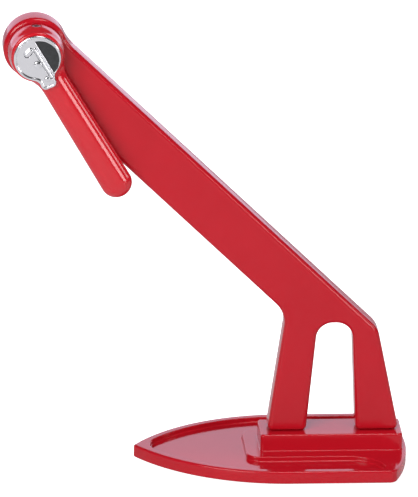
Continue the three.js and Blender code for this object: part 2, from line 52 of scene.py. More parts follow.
azimuth, elevation = math.radians(CAMERA_AZIMUTH), math.radians(CAMERA_ELEVATION)
towards_camera = Vector((
    math.sin(azimuth) * math.cos(elevation),
    -math.cos(azimuth) * math.cos(elevation),
    math.sin(elevation),
))
camera_data = bpy.data.cameras.new("camera")
camera_data.sensor_width = CAMERA_SENSOR
camera_data.lens = CAMERA_SENSOR * CAMERA_DISTANCE / FIELD_HEIGHT
camera_data.clip_start = 0.1
camera_data.clip_end = 50.0
camera = bpy.data.objects.new("camera", camera_data)
camera.location = CAMERA_AIM + towards_camera * CAMERA_DISTANCE
facing = (-towards_camera).to_track_quat("-Z", "Y").to_euler()
facing.rotate_axis("Z", math.radians(CAMERA_ROLL))
camera.rotation_euler = facing
bpy.context.scene.collection.objects.link(camera)
bpy.context.scene.camera = camera
bpy.context.scene.view_settings.view_transform = "Standard"


# ---- Light table and studio ----
# A white table in a dim room. A low key light at the left lights the upright faces, level
# ones mirror the pale wall behind, and the softbox overhead, side light and window draw
# the bright lines along rounded edges. Sizes and places are in metres.
def linear(colour):
    """An sRGB hex colour as linear red, green and blue."""
    values = [int(colour[i:i + 2], 16) / 255 for i in (1, 3, 5)]
    return [v / 12.92 if v <= 0.04045 else ((v + 0.055) / 1.055) ** 2.4 for v in values]


def add(tree, kind, inputs=None, **settings):
    """One node with its settings, and its inputs set or linked."""
    made = tree.nodes.new(kind)
    for name, value in settings.items():
        setattr(made, name, value)
    for name, value in (inputs or {}).items():
        if isinstance(value, bpy.types.NodeSocket):
            tree.links.new(value, made.inputs[name])
        else:
            made.inputs[name].default_value = value
    return made


def finish_of(name, inputs, pattern=None, settings=None, tones=None):
    """A new material with one Principled surface, and two tones blended by a pattern."""
    material = bpy.data.materials.new(name)
    material.use_nodes = True
    tree = material.node_tree
    tree.nodes.clear()
    surface = add(tree, "ShaderNodeBsdfPrincipled", inputs)
    add(tree, "ShaderNodeOutputMaterial", {"Surface": surface.outputs["BSDF"]})
    place = add(tree, "ShaderNodeTexCoord").outputs["Object"]
    if tones is None:
        return material, tree, surface, place
    blend = add(tree, pattern, {"Vector": place, **settings}).outputs[0]
    tone = add(tree, "ShaderNodeMixRGB", {
        "Fac": blend,
        "Color1": (*linear(tones[0]), 1),
        "Color2": (*linear(tones[1]), 1),
    })
    tree.links.new(tone.outputs["Color"], surface.inputs["Base Color"])
    return material, tree, surface, place, blend


TABLE_RADIUS, TABLE_SIDES, TABLE_DROP = 9.0, 96, 0.0004
TABLE_GLOW = 0.97             # seen by the camera alone, so that the ground is white
LAMP_WHITE, WINDOW_WHITE, WALL_BLUE = (1, 0.98, 0.98), (1, 0.98, 1), (0.8, 0.8, 1.0)
WALL_SIZE = (5.0, 1.7)
WALL_PLACE = (0.0, 2.2, 0.45)
WALL_RADIANCE = 1.7
SOFTBOX_SIZE = (0.7, 0.4)
SOFTBOX_PLACE = (0.15, -0.15, 1.3)
SOFTBOX_RADIANCE = 6.5
SIDE_SIZE = (0.55, 0.45)
SIDE_PLACE = (1.12, -1.3, 0.36)
SIDE_RADIANCE = 6.5
WINDOW_SIZE = (0.6, 0.4)
WINDOW_PLACE = (1.7, -0.3, 0.72)
WINDOW_RADIANCE = 4.0
KEY_SIZE = (1.2, 0.8)
KEY_PLACE = (-1.1, -1.5, 0.95)
KEY_RADIANCE = 8.6
ROOM, ROOM_BLUE = 0.08, 1.05

acrylic, tree, surface, place = finish_of("opal acrylic table", {
    "Base Color": (*linear("#F1F1F2"), 1),
    "Roughness": 0.6,
    "Specular IOR Level": 0.1,
    "Emission Color": (1, 1, 1, 1),
})
seen = add(tree, "ShaderNodeLightPath").outputs["Is Camera Ray"]
glow = add(tree, "ShaderNodeMath", {0: seen, 1: TABLE_GLOW}, operation="MULTIPLY")
tree.links.new(glow.outputs[0], surface.inputs["Emission Strength"])
bm = bmesh.new()
bmesh.ops.create_circle(bm, cap_ends=True, radius=TABLE_RADIUS, segments=TABLE_SIDES)
table_mesh = bpy.data.meshes.new("light_table")
bm.to_mesh(table_mesh)
bm.free()
table_mesh.materials.append(acrylic)
light_table = bpy.data.objects.new("light_table", table_mesh)
light_table.location.z = -TABLE_DROP
bpy.context.scene.collection.objects.link(light_table)


def lamp(name, size, location, aim, radiance, colour):
    """A rectangular lamp of a given radiance that the camera itself does not see."""
    data = bpy.data.lights.new(name, "AREA")
    data.shape = "RECTANGLE"
    data.size, data.size_y = size
    data.energy = radiance * math.pi * size[0] * size[1]
    data.color = colour
    made = bpy.data.objects.new(name, data)
    made.location = location
    made.rotation_euler = (Vector(aim) - Vector(location)).to_track_quat("-Z", "Y").to_euler()
    made.visible_camera = False
    bpy.context.scene.collection.objects.link(made)


lamp("back_wall", WALL_SIZE, WALL_PLACE, (0, 0, WALL_PLACE[2]), WALL_RADIANCE, WALL_BLUE)
lamp("softbox", SOFTBOX_SIZE, SOFTBOX_PLACE, (-0.03, 0, 0.1), SOFTBOX_RADIANCE, LAMP_WHITE)
lamp("side_light", SIDE_SIZE, SIDE_PLACE, (-0.03, 0, 0.12), SIDE_RADIANCE, LAMP_WHITE)
lamp("window", WINDOW_SIZE, WINDOW_PLACE, (-0.03, 0, 0.12), WINDOW_RADIANCE, WINDOW_WHITE)
lamp("key_light", KEY_SIZE, KEY_PLACE, (-0.03, 0, 0.1), KEY_RADIANCE, LAMP_WHITE)

room = bpy.data.worlds.new("room")
room.use_nodes = True
room.node_tree.nodes.clear()
seen = add(room.node_tree, "ShaderNodeLightPath").outputs["Is Camera Ray"]
air = add(room.node_tree, "ShaderNodeMixRGB", {
    "Fac": seen,
    "Color1": (ROOM, ROOM, ROOM * ROOM_BLUE, 1),
    "Color2": (1, 1, 1, 1),
})
light = add(room.node_tree, "ShaderNodeBackground", {"Color": air.outputs["Color"]})
add(room.node_tree, "ShaderNodeOutputWorld", {"Surface": light.outputs["Background"]})
bpy.context.scene.world = room


# ---- Base ----
# A boat-shaped plate with a raised rim, a sunken tray and two steps for the stand.
# Die-cast aluminium, so every edge is rounded and every inner corner has a fillet,
# then stoved with red enamel. Millimetres, from the middle of the base on the table.
BASE_LENGTH, BASE_WIDTH = 154.0, 92.0
SIDE_RADIUS, END_RADIUS = 103.0, 115.0
TIP_RADIUS, TRAY_TIP_RADIUS = 2.0, 14.0
END_CORNER_RADIUS = 5.0
UNDERSIDE, RIM_TOP, TRAY_FLOOR = 0.6, 8.0, 5.3
RIM_WIDTH = 4.8
CAST_EDGE = 1.2
POCKET_EDGE, POCKET_FILLET = 0.7, 0.8
LOWER_STEP_X, LOWER_STEP_HALF, LOWER_STEP_CORNER = -14.3, 22.2, 7.5
MOAT_END_X, MOAT_CORNER = 62.5, 2.0
UPPER_STEP_X, UPPER_STEP_END_X, UPPER_STEP_HALF = -6.0, 74.2, 12.8
UPPER_STEP_TOP, UPPER_STEP_CORNER, FOOT_FILLET = 17.5, 2.0, 0.6
PAD_MARGIN, PAD_POCKET_TOP = 5.0, 1.3
SCREW_XS, DOWEL_XS = (7.6, 62.9), (15.2, 55.3)
SCREW_HOLE, COUNTERBORE, DOWEL_HOLE = 3.3, 5.6, 2.3
SCREW_SEAT = 9.1
DOWEL_LOW, DOWEL_HIGH = 11.65, 23.65
PIN_GAP = 0.3                 # past each end of a dowel
STEADY = 0.35                 # plain margin beside a rounded edge, which keeps a flat face flat
LONG_SIDE = 4.0               # a side with steadying points near its ends
OVERCUT = 2.0                 # of a cutter past the face it opens
ROD_STEP = 7.5                # degrees between the sides of a round cutter
MM = 0.001
CREASE = 50.0                 # degrees, past which an edge is left sharp


def arc(centre, radius, start, end, step=3.0):
    """Points on an arc, both ends included; angles in degrees."""
    count = max(3, math.ceil(abs(end - start) / step))
    angles = [math.radians(start + (end - start) * i / count) for i in range(count + 1)]
    return [(centre[0] + radius * math.cos(a), centre[1] + radius * math.sin(a)) for a in angles]


def rounded(corners):
    """A closed outline from (x, y) points and (x, y, radius) corners that are rounded."""
    points = []
    for i, corner in enumerate(corners):
        here = Vector(corner[:2])
        if len(corner) == 2:
            points.append(tuple(here))
            continue
        back = (Vector(corners[i - 1][:2]) - here).normalized()
        on = (Vector(corners[(i + 1) % len(corners)][:2]) - here).normalized()
        half = math.acos(back.dot(on)) / 2
        centre = here + (back + on).normalized() * corner[2] / math.sin(half)
        first = here + back * corner[2] / math.tan(half) - centre
        last = here + on * corner[2] / math.tan(half) - centre
        start = math.degrees(math.atan2(first.y, first.x))
        turn = math.degrees(math.atan2(first.x * last.y - first.y * last.x, first.dot(last)))
        points += arc(centre, corner[2], start, start + turn)
    return points


def outline(points):
    """The outline anticlockwise, no point twice, with steadying points on its long sides."""
    ring = np.array(points, float)
    ring = ring[np.linalg.norm(ring - np.roll(ring, 1, 0), axis=1) > 1e-4]
    after = np.roll(ring, -1, 0)
    if (ring[:, 0] * after[:, 1] - ring[:, 1] * after[:, 0]).sum() < 0:
        ring = ring[::-1]
    made = []
    for here, there in zip(ring, np.roll(ring, -1, 0)):
        length = np.linalg.norm(there - here)
        made.append(here)
        if length > LONG_SIDE:
            made += [here + (there - here) * t for t in (STEADY / length, 1 - STEADY / length)]
    return np.array(made)


def drawn_in(ring, distance):
    """The outline moved inwards by a distance all the way round."""
    def leftwards(side):
        return np.stack([-side[:, 1], side[:, 0]], 1) / np.linalg.norm(side, axis=1)[:, None]
    first = leftwards(ring - np.roll(ring, 1, 0))
    second = leftwards(np.roll(ring, -1, 0) - ring)
    return ring + distance * (first + second) / (1 + (first * second).sum(1))[:, None]


def bend(inset, height, radius, start, end, steps=7):
    """A rounded edge or a fillet as (inset, height) pairs about its centre; angles in degrees."""
    angles = [math.radians(start + (end - start) * i / steps) for i in range(steps + 1)]
    return [(inset + radius * math.cos(a), height + radius * math.sin(a)) for a in angles]


def wall(bm, ring, profile, lay):
    """Faces round an outline that follow a profile; returns the first and last rings of edges."""
    rows = []
    for inset, height in profile:
        rows.append([bm.verts.new(lay(x, y, height)) for x, y in drawn_in(ring, inset)])
    for low, high in zip(rows, rows[1:]):
        for i in range(len(low)):
            bm.faces.new((low[i - 1], low[i], high[i], high[i - 1]))
    ends = (rows[0], rows[-1])
    return [[bm.edges.get((row[i - 1], row[i])) for i in range(len(row))] for row in ends]


def flat(bm, *rings):
    """A flat face between closed rings of edges: the outer one and any round its holes."""
    bmesh.ops.triangle_fill(bm, use_beauty=True, edges=[edge for ring in rings for edge in ring])


def piece(name, bm, *materials):
    """A named object from faces drawn in millimetres, closed, smooth and facing outwards."""
    bmesh.ops.remove_doubles(bm, verts=bm.verts, dist=1e-5)
    bmesh.ops.recalc_face_normals(bm, faces=bm.faces)
    bmesh.ops.scale(bm, vec=(MM, MM, MM), verts=bm.verts)
    for face in bm.faces:
        face.smooth = True
    mesh = bpy.data.meshes.new(name)
    bm.to_mesh(mesh)
    bm.free()
    for material in materials:
        mesh.materials.append(material)
    made = bpy.data.objects.new(name, mesh)
    bpy.context.scene.collection.objects.link(made)
    return made


def settle(thing):
    """The object with its modifiers worked into its mesh and taken off."""
    bpy.context.view_layer.update()
    finished = thing.evaluated_get(bpy.context.evaluated_depsgraph_get())
    worked = bpy.data.meshes.new_from_object(finished)
    thing.modifiers.clear()
    thing.data = worked
    worked.name = thing.name
    worked.set_sharp_from_angle(angle=math.radians(CREASE))


def rods(places, along):
    """Round cutters as one mesh, from (centre, radius, low, high) rows, all along one line."""
    bm = bmesh.new()
    turn = Vector((0, 0, 1)).rotation_difference(Vector(along)).to_matrix()
    for centre, radius, low, high in places:
        rings = []
        for level in (low, high):
            points = [Vector((x, y, level)) for x, y in arc((0, 0), radius, 0, 360, ROD_STEP)[:-1]]
            rings.append([bm.verts.new(Vector(centre) + turn @ p) for p in points])
        for i in range(len(rings[0])):
            bm.faces.new((rings[0][i - 1], rings[0][i], rings[1][i], rings[1][i - 1]))
        bm.faces.new(rings[0])
        bm.faces.new(rings[1])
    return bm


def cut(thing, cutters, keep="DIFFERENCE"):
    """Cuts the closed shapes of a mesh out of a piece, or joins or crosses them with it."""
    tool = piece("cutter", cutters)
    tool.data.materials.append(thing.data.materials[0])
    knife = thing.modifiers.new("cut", "BOOLEAN")
    knife.operation = keep
    knife.solver = "EXACT"
    knife.use_self = True
    knife.object = tool
    settle(thing)
    bpy.data.objects.remove(tool)


def base_plan(inset, tip_radius):
    """The plan of the base: a rounded tip, two curved sides and the blunt end's shallow curve."""
    centre_y = BASE_WIDTH / 2 - SIDE_RADIUS
    centre_x = -BASE_LENGTH / 2 + math.sqrt(SIDE_RADIUS ** 2 - centre_y ** 2)
    radius = SIDE_RADIUS - inset
    tip_x = centre_x - math.sqrt((radius - tip_radius) ** 2 - centre_y ** 2)
    tangent = math.degrees(math.atan2(-centre_y, tip_x - centre_x))
    tip = arc((tip_x, 0), tip_radius, 180, tangent)
    side = arc((centre_x, centre_y), radius, tangent, 90, 1.5)
    end_radius = END_RADIUS - inset
    angle = math.degrees(math.asin((BASE_WIDTH / 2 - inset) / end_radius))
    end = arc((BASE_LENGTH / 2 - END_RADIUS, 0), end_radius, angle, 0, 1.5)
    upper = tip[:-1] + side + [(*end[0], END_CORNER_RADIUS)] + end[2:]
    lower = [(c[0], -c[1], *c[2:]) for c in reversed(upper[1:-1])]
    return upper + lower


def flat_on_table(x, y, height):
    """A point of the base, drawn as it stands."""
    return Vector((x, y, height))


# The tray and the two moats are one pocket, between the rim and the lower step.
tray = base_plan(RIM_WIDTH, TRAY_TIP_RADIUS)
moat_y = BASE_WIDTH / 2 - RIM_WIDTH
sweep = moat_y - LOWER_STEP_HALF
shore = [c for c in tray if c[0] < MOAT_END_X - 4 and len(c) == 2]
upper_shore = [c for c in shore if c[1] >= 0]
lower_shore = [c for c in shore if c[1] < 0]
step_side = [(LOWER_STEP_X, LOWER_STEP_HALF, LOWER_STEP_CORNER)]
moat_end = arc((MOAT_END_X - sweep, moat_y), sweep, 0, -90)
pocket = lower_shore + upper_shore + [(MOAT_END_X, moat_y, MOAT_CORNER)] + moat_end[3:] + step_side
pocket += [(x, -y, *r) for x, y, *r in reversed(step_side)]
pocket += [(x, -y) for x, y in reversed(moat_end[3:])] + [(MOAT_END_X, -moat_y, MOAT_CORNER)]

base_ring = outline(rounded(base_plan(0, TIP_RADIUS)))
pad_ring = outline(rounded(base_plan(PAD_MARGIN, TIP_RADIUS)))
pocket_ring = outline(rounded(pocket))
step_ring = outline(rounded([
    (UPPER_STEP_X, -UPPER_STEP_HALF, UPPER_STEP_CORNER),
    (UPPER_STEP_END_X, -UPPER_STEP_HALF, UPPER_STEP_CORNER),
    (UPPER_STEP_END_X, UPPER_STEP_HALF, UPPER_STEP_CORNER),
    (UPPER_STEP_X, UPPER_STEP_HALF, UPPER_STEP_CORNER),
]))

bm = bmesh.new()
under, over = wall(bm, base_ring, [
    (CAST_EDGE + STEADY, UNDERSIDE),
    *bend(CAST_EDGE, UNDERSIDE + CAST_EDGE, CAST_EDGE, 270, 180),
    *bend(CAST_EDGE, RIM_TOP - CAST_EDGE, CAST_EDGE, 180, 90),
    (CAST_EDGE + STEADY / 2, RIM_TOP),
], flat_on_table)
shore_edge, floor_edge = wall(bm, pocket_ring, [
    (-POCKET_EDGE - STEADY, RIM_TOP),
    *bend(-POCKET_EDGE, RIM_TOP - POCKET_EDGE, POCKET_EDGE, 90, 0),
    *bend(POCKET_FILLET, TRAY_FLOOR + POCKET_FILLET, POCKET_FILLET, 180, 270),
    (POCKET_FILLET + STEADY, TRAY_FLOOR),
], flat_on_table)
step_foot, step_top = wall(bm, step_ring, [
    (-FOOT_FILLET - STEADY / 2, RIM_TOP),
    *bend(-FOOT_FILLET, RIM_TOP + FOOT_FILLET, FOOT_FILLET, 270, 360),
    *bend(CAST_EDGE, UPPER_STEP_TOP - CAST_EDGE, CAST_EDGE, 180, 90),
    (CAST_EDGE + STEADY, UPPER_STEP_TOP),
], flat_on_table)
pad_mouth, pad_roof = wall(bm, pad_ring, [(0, UNDERSIDE), (0, PAD_POCKET_TOP)], flat_on_table)
flat(bm, over, shore_edge, step_foot)
flat(bm, floor_edge)
flat(bm, step_top)
flat(bm, under, pad_mouth)
flat(bm, pad_roof)

# Stoved enamel on a casting: glossy and even, with a faint orange-peel ripple about a
# millimetre across and drifts of tone a couple of centimetres across.
ENAMEL_TONES = ("#BC1423", "#C61828")
enamel, tree, surface, place, _ = finish_of("stoved red enamel on cast aluminium", {
    "Roughness": 0.11,
    "IOR": 1.4,
}, "ShaderNodeTexNoise", {"Scale": 45.0, "Detail": 3.0}, ENAMEL_TONES)
peel = add(tree, "ShaderNodeTexNoise", {"Vector": place, "Scale": 900.0, "Detail": 2.0})
ripple = add(tree, "ShaderNodeBump", {
    "Height": peel.outputs["Fac"],
    "Strength": 0.35,
    "Distance": 0.00003,
})
tree.links.new(ripple.outputs["Normal"], surface.inputs["Normal"])

base_casting = piece("base_casting", bm, enamel)
mouth = UPPER_STEP_TOP + OVERCUT
holes = [((x, 0, 0), SCREW_HOLE, -OVERCUT, mouth) for x in SCREW_XS]
holes += [((x, 0, 0), DOWEL_HOLE, DOWEL_LOW - PIN_GAP, mouth) for x in DOWEL_XS]
cut(base_casting, rods(holes, (0, 0, 1)))
seats = [((x, 0, 0), COUNTERBORE, -OVERCUT, SCREW_SEAT) for x in SCREW_XS]
cut(base_casting, rods(seats, (0, 0, 1)))
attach(base_casting, "stand")
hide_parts("base_plate")


# ---- Anti-slip pad ----
# A sheet of black rubber, cut to the plan of the base and glued in its underside,
# with two round openings for the screws.
PAD_GAP, PAD_THICKNESS, PAD_EDGE = 0.3, 1.0, 0.15

bm = bmesh.new()
low, high = wall(bm, pad_ring, [
    (PAD_GAP + 3 * PAD_EDGE, 0),
    *bend(PAD_GAP + PAD_EDGE, PAD_EDGE, PAD_EDGE, 270, 180, 2),
    *bend(PAD_GAP + PAD_EDGE, PAD_THICKNESS - PAD_EDGE, PAD_EDGE, 180, 90, 2),
    (PAD_GAP + 3 * PAD_EDGE, PAD_THICKNESS),
], flat_on_table)
flat(bm, low)
flat(bm, high)

# Moulded nitrile rubber: dull and near black, with a pimpled grain about 1.4 mm apart.
rubber, tree, surface, place, blend = finish_of("moulded black nitrile rubber", {
    "Roughness": 0.75,
}, "ShaderNodeTexVoronoi", {"Scale": 700.0}, ("#2B2B2D", "#1C1C1E"))
pimples = add(tree, "ShaderNodeBump", {
    "Height": blend,
    "Strength": 0.5,
    "Distance": 0.0001,
})
tree.links.new(pimples.outputs["Normal"], surface.inputs["Normal"])

pad = piece("rubber_pad", bm, rubber)
openings = [((x, 0, 0), COUNTERBORE, -OVERCUT, PAD_THICKNESS + OVERCUT) for x in SCREW_XS]
cut(pad, rods(openings, (0, 0, 1)))
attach(pad, "stand")
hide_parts("base_pad")


# ---- Stand ----
# Two legs that rise into one leaning arm with a round head for the shaft. One casting
# in the same enamel; drawn flat, x along the base and y up, and set upright.
STAND_HALF, STAND_EDGE, STAND_EDGE_STEPS = 7.2, 2.6, 12
FEET_BOTTOM, FOOT_CORNER = 17.8, 3.0
FEET = (-1.9, 20.0, 48.1, 72.4)
ARCH_X, ARCH_END_X, ARCH_TOP, ARCH_CORNER = 25.5, 44.9, 81.9, 9.4
ARM_ANGLE, ARM_WIDTH, ARM_LENGTH = 44.0, 29.3, 212.9
CROTCH, CROTCH_RADIUS = Vector((7.5, 87.9)), 16.0
SHOULDER_ALONG, SHOULDER_RADIUS = 44.0, 14.0
HEAD_RADIUS, HEAD_BLEND = 17.8, 26.0
BUSH_HOLE, BUSH_SEAT, BUSH_SEAT_DEPTH = 7.0, 9.9, 1.5
LEG_SCREW_TOP = 36.1

down = Vector((math.cos(math.radians(ARM_ANGLE)), -math.sin(math.radians(ARM_ANGLE))))
across = Vector((-down.y, down.x))
SHAFT = CROTCH - down * ARM_LENGTH + across * ARM_WIDTH / 2
shoulder = CROTCH + down * SHOULDER_ALONG + across * ARM_WIDTH


def head_outline():
    """The head's disc and the two curves that lead it into the sides of the arm."""
    half = ARM_WIDTH / 2 + HEAD_BLEND
    reach = math.sqrt((HEAD_RADIUS + HEAD_BLEND) ** 2 - half ** 2)
    joint = math.degrees(math.atan2(half, reach))
    past_head, aside, way = SHAFT + down * reach, across * half, -ARM_ANGLE
    above = arc(past_head + aside, HEAD_BLEND, way - 90, way + joint - 180)
    below = arc(past_head - aside, HEAD_BLEND, way + 90, way - joint + 180)
    disc = arc(SHAFT, HEAD_RADIUS, joint - ARM_ANGLE, 360 - joint - ARM_ANGLE)
    return above + disc[1:-1] + below[::-1]


def upright(x, y, height):
    """A point drawn flat, set upright, with its height towards the lever."""
    return Vector((x, -height, y))


stand_ring = outline(rounded([
    (FEET[0], FEET_BOTTOM, FOOT_CORNER),
    (FEET[1], FEET_BOTTOM, FOOT_CORNER),
    (ARCH_X, ARCH_TOP, ARCH_CORNER),
    (ARCH_END_X, ARCH_TOP, ARCH_CORNER),
    (FEET[2], FEET_BOTTOM, FOOT_CORNER),
    (FEET[3], FEET_BOTTOM, FOOT_CORNER),
    (*shoulder, SHOULDER_RADIUS),
    *head_outline(),
    (*CROTCH, CROTCH_RADIUS),
]))
bm = bmesh.new()
rear, front = wall(bm, stand_ring, [
    (STAND_EDGE + STEADY / 2, -STAND_HALF),
    *bend(STAND_EDGE, -STAND_HALF + STAND_EDGE, STAND_EDGE, 270, 180, STAND_EDGE_STEPS),
    *bend(STAND_EDGE, STAND_HALF - STAND_EDGE, STAND_EDGE, 180, 90, STAND_EDGE_STEPS),
    (STAND_EDGE + STEADY / 2, STAND_HALF),
], upright)
flat(bm, rear)
flat(bm, front)
stand = piece("stand_casting", bm, enamel)
shaft_place = (SHAFT.x, 0, SHAFT.y)
bore = [(shaft_place, BUSH_HOLE, -STAND_HALF - OVERCUT, STAND_HALF + OVERCUT)]
cut(stand, rods(bore, (0, -1, 0)))
for side in (-1, 1):
    depth, mouth = sorted((side * (STAND_HALF - BUSH_SEAT_DEPTH), side * (STAND_HALF + OVERCUT)))
    cut(stand, rods([(shaft_place, BUSH_SEAT, depth, mouth)], (0, -1, 0)))
mouth = FEET_BOTTOM - OVERCUT
holes = [((x, 0, 0), SCREW_HOLE, mouth, LEG_SCREW_TOP) for x in SCREW_XS]
holes += [((x, 0, 0), DOWEL_HOLE, mouth, DOWEL_HIGH + PIN_GAP) for x in DOWEL_XS]
cut(stand, rods(holes, (0, 0, 1)))
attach(stand, "stand")
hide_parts("stand_frame")


# ---- Screws, spring washers and dowels of the feet ----
# Two M6 socket head screws of blackened steel, each with a split spring washer, come up
# through the base into the legs; a ground steel dowel beside each keeps the foot square.
SCREW_HEAD, SCREW_HEAD_HEIGHT, SCREW_SHANK, SCREW_LENGTH = 5.0, 6.0, 2.85, 28.8
SCREW_LOW, SOCKET, SOCKET_DEPTH, THREAD_PITCH = 1.0, 2.9, 3.0, 1.0
THREAD_DEPTH = 0.45
WASHER_OUTER, WASHER_WIRE, WASHER_RISE = 5.0, 1.05, 0.5
WASHER_START = 0.62           # middle of the wire's lower end above the screw head
DOWEL_RADIUS, DOWEL_CHAMFER = 2.0, 0.4


def repeat_tree(name, sizes, draw, material):
    """A tree that sets one shape, drawn from named sizes, on every point of a mesh."""
    tree = bpy.data.node_groups.new(name, "GeometryNodeTree")
    tree.interface.new_socket("Geometry", in_out="INPUT", socket_type="NodeSocketGeometry")
    for label in sizes:
        tree.interface.new_socket(label, in_out="INPUT", socket_type="NodeSocketFloat")
    tree.interface.new_socket("Geometry", in_out="OUTPUT", socket_type="NodeSocketGeometry")
    given = add(tree, "NodeGroupInput").outputs
    shape = draw(tree, given)
    smooth = add(tree, "GeometryNodeSetShadeSmooth", {"Geometry": shape})
    copies = add(tree, "GeometryNodeInstanceOnPoints", {
        "Points": given["Geometry"],
        "Instance": smooth.outputs[0],
    })
    real = add(tree, "GeometryNodeRealizeInstances", {"Geometry": copies.outputs[0]})
    coated = add(tree, "GeometryNodeSetMaterial", {
        "Geometry": real.outputs[0],
        "Material": material,
    })
    add(tree, "NodeGroupOutput", {"Geometry": coated.outputs[0]})
    return tree


def repeated(name, places, tree, sizes):
    """The plain mesh that a tree makes at these places, with its sizes set by socket identifier."""
    mesh = bpy.data.meshes.new(name)
    mesh.from_pydata([Vector(p) * MM for p in places], [], [])
    made = bpy.data.objects.new(name, mesh)
    bpy.context.scene.collection.objects.link(made)
    nodes = made.modifiers.new(name, "NODES")
    nodes.node_group = tree
    items = [item for item in tree.interface.items_tree if item.in_out == "INPUT"]
    sockets = {item.name: item.identifier for item in items}
    for label, value in sizes.items():
        nodes[sockets[label]] = value * MM
    settle(made)
    return made


def draw_screw(tree, given):
    """Head with its hexagon socket, shank, and a rolled thread that winds round the shank."""
    head = add(tree, "GeometryNodeMeshCylinder", {
        "Vertices": 40,
        "Radius": given["Head radius"],
        "Depth": given["Head height"],
    })
    half_head = add(tree, "ShaderNodeMath", {0: given["Head height"], 1: 0.5}, operation="MULTIPLY")
    head_middle = add(tree, "ShaderNodeCombineXYZ", {"Z": half_head.outputs[0]})
    standing_head = add(tree, "GeometryNodeTransform", {
        "Geometry": head.outputs["Mesh"],
        "Translation": head_middle.outputs[0],
    })
    # The hexagon is centred on the underside of the head, so half of its bar cuts the socket.
    both = add(tree, "ShaderNodeMath", {0: given["Socket depth"], 1: 2.0}, operation="MULTIPLY")
    key = add(tree, "GeometryNodeMeshCylinder", {
        "Vertices": 6,
        "Radius": given["Socket radius"],
        "Depth": both.outputs[0],
    })
    bored = add(tree, "GeometryNodeMeshBoolean", {
        "Mesh 1": standing_head.outputs["Geometry"],
        "Mesh 2": key.outputs["Mesh"],
    }, operation="DIFFERENCE")
    bar = add(tree, "GeometryNodeMeshCylinder", {
        "Vertices": 40,
        "Radius": given["Shank radius"],
        "Depth": given["Length"],
    })
    length, pitch = given["Length"], given["Pitch"]
    half_bar = add(tree, "ShaderNodeMath", {0: length, 1: 0.5}, operation="MULTIPLY")
    bar_height = add(tree, "ShaderNodeMath", {0: given["Head height"], 1: half_bar.outputs[0]})
    bar_middle = add(tree, "ShaderNodeCombineXYZ", {"Z": bar_height.outputs[0]})
    shank = add(tree, "GeometryNodeTransform", {
        "Geometry": bar.outputs["Mesh"],
        "Translation": bar_middle.outputs[0],
    })
    turns = add(tree, "ShaderNodeMath", {0: length, 1: pitch}, operation="DIVIDE")
    full_turns = add(tree, "ShaderNodeMath", {0: turns.outputs[0], 1: 1.5}, operation="SUBTRACT")
    threaded = add(tree, "ShaderNodeMath", {0: length, 1: pitch}, operation="SUBTRACT")
    helix = add(tree, "GeometryNodeCurveSpiral", {
        "Resolution": 24,
        "Rotations": full_turns.outputs[0],
        "Start Radius": given["Shank radius"],
        "End Radius": given["Shank radius"],
        "Height": threaded.outputs[0],
    })
    crest = add(tree, "GeometryNodeCurvePrimitiveCircle", {
        "Resolution": 4,
        "Radius": given["Thread depth"],
    })
    wound = add(tree, "GeometryNodeCurveToMesh", {
        "Curve": helix.outputs["Curve"],
        "Profile Curve": crest.outputs["Curve"],
        "Fill Caps": True,
    })
    half_pitch = add(tree, "ShaderNodeMath", {0: pitch, 1: 0.5}, operation="MULTIPLY")
    thread_start = add(tree, "ShaderNodeMath", {0: given["Head height"], 1: half_pitch.outputs[0]})
    thread_place = add(tree, "ShaderNodeCombineXYZ", {"Z": thread_start.outputs[0]})
    thread = add(tree, "GeometryNodeTransform", {
        "Geometry": wound.outputs["Mesh"],
        "Translation": thread_place.outputs[0],
    })
    join = add(tree, "GeometryNodeJoinGeometry")
    for part in (bored.outputs["Mesh"], shank.outputs["Geometry"], thread.outputs["Geometry"]):
        tree.links.new(part, join.inputs["Geometry"])
    return join.outputs["Geometry"]


def draw_spring_washer(tree, given):
    """One turn of square wire with its two ends a little apart, one above the other."""
    wire, outer = given["Wire"], given["Outer radius"]
    half_wire = add(tree, "ShaderNodeMath", {0: wire, 1: 0.5}, operation="MULTIPLY")
    middle = add(tree, "ShaderNodeMath", {0: outer, 1: half_wire.outputs[0]}, operation="SUBTRACT")
    coil = add(tree, "GeometryNodeCurveSpiral", {
        "Resolution": 60,
        "Rotations": 0.96,
        "Start Radius": middle.outputs[0],
        "End Radius": middle.outputs[0],
        "Height": given["Rise"],
    })
    section = add(tree, "GeometryNodeCurvePrimitiveQuadrilateral", {"Width": wire, "Height": wire})
    corner = add(tree, "ShaderNodeMath", {0: wire, 1: 0.15}, operation="MULTIPLY")
    rounded_section = add(tree, "GeometryNodeFilletCurve", {
        "Curve": section.outputs["Curve"],
        "Radius": corner.outputs[0],
        "Count": 3,
    }, mode="POLY")
    ring = add(tree, "GeometryNodeCurveToMesh", {
        "Curve": coil.outputs["Curve"],
        "Profile Curve": rounded_section.outputs["Curve"],
        "Fill Caps": True,
    })
    return ring.outputs["Mesh"]


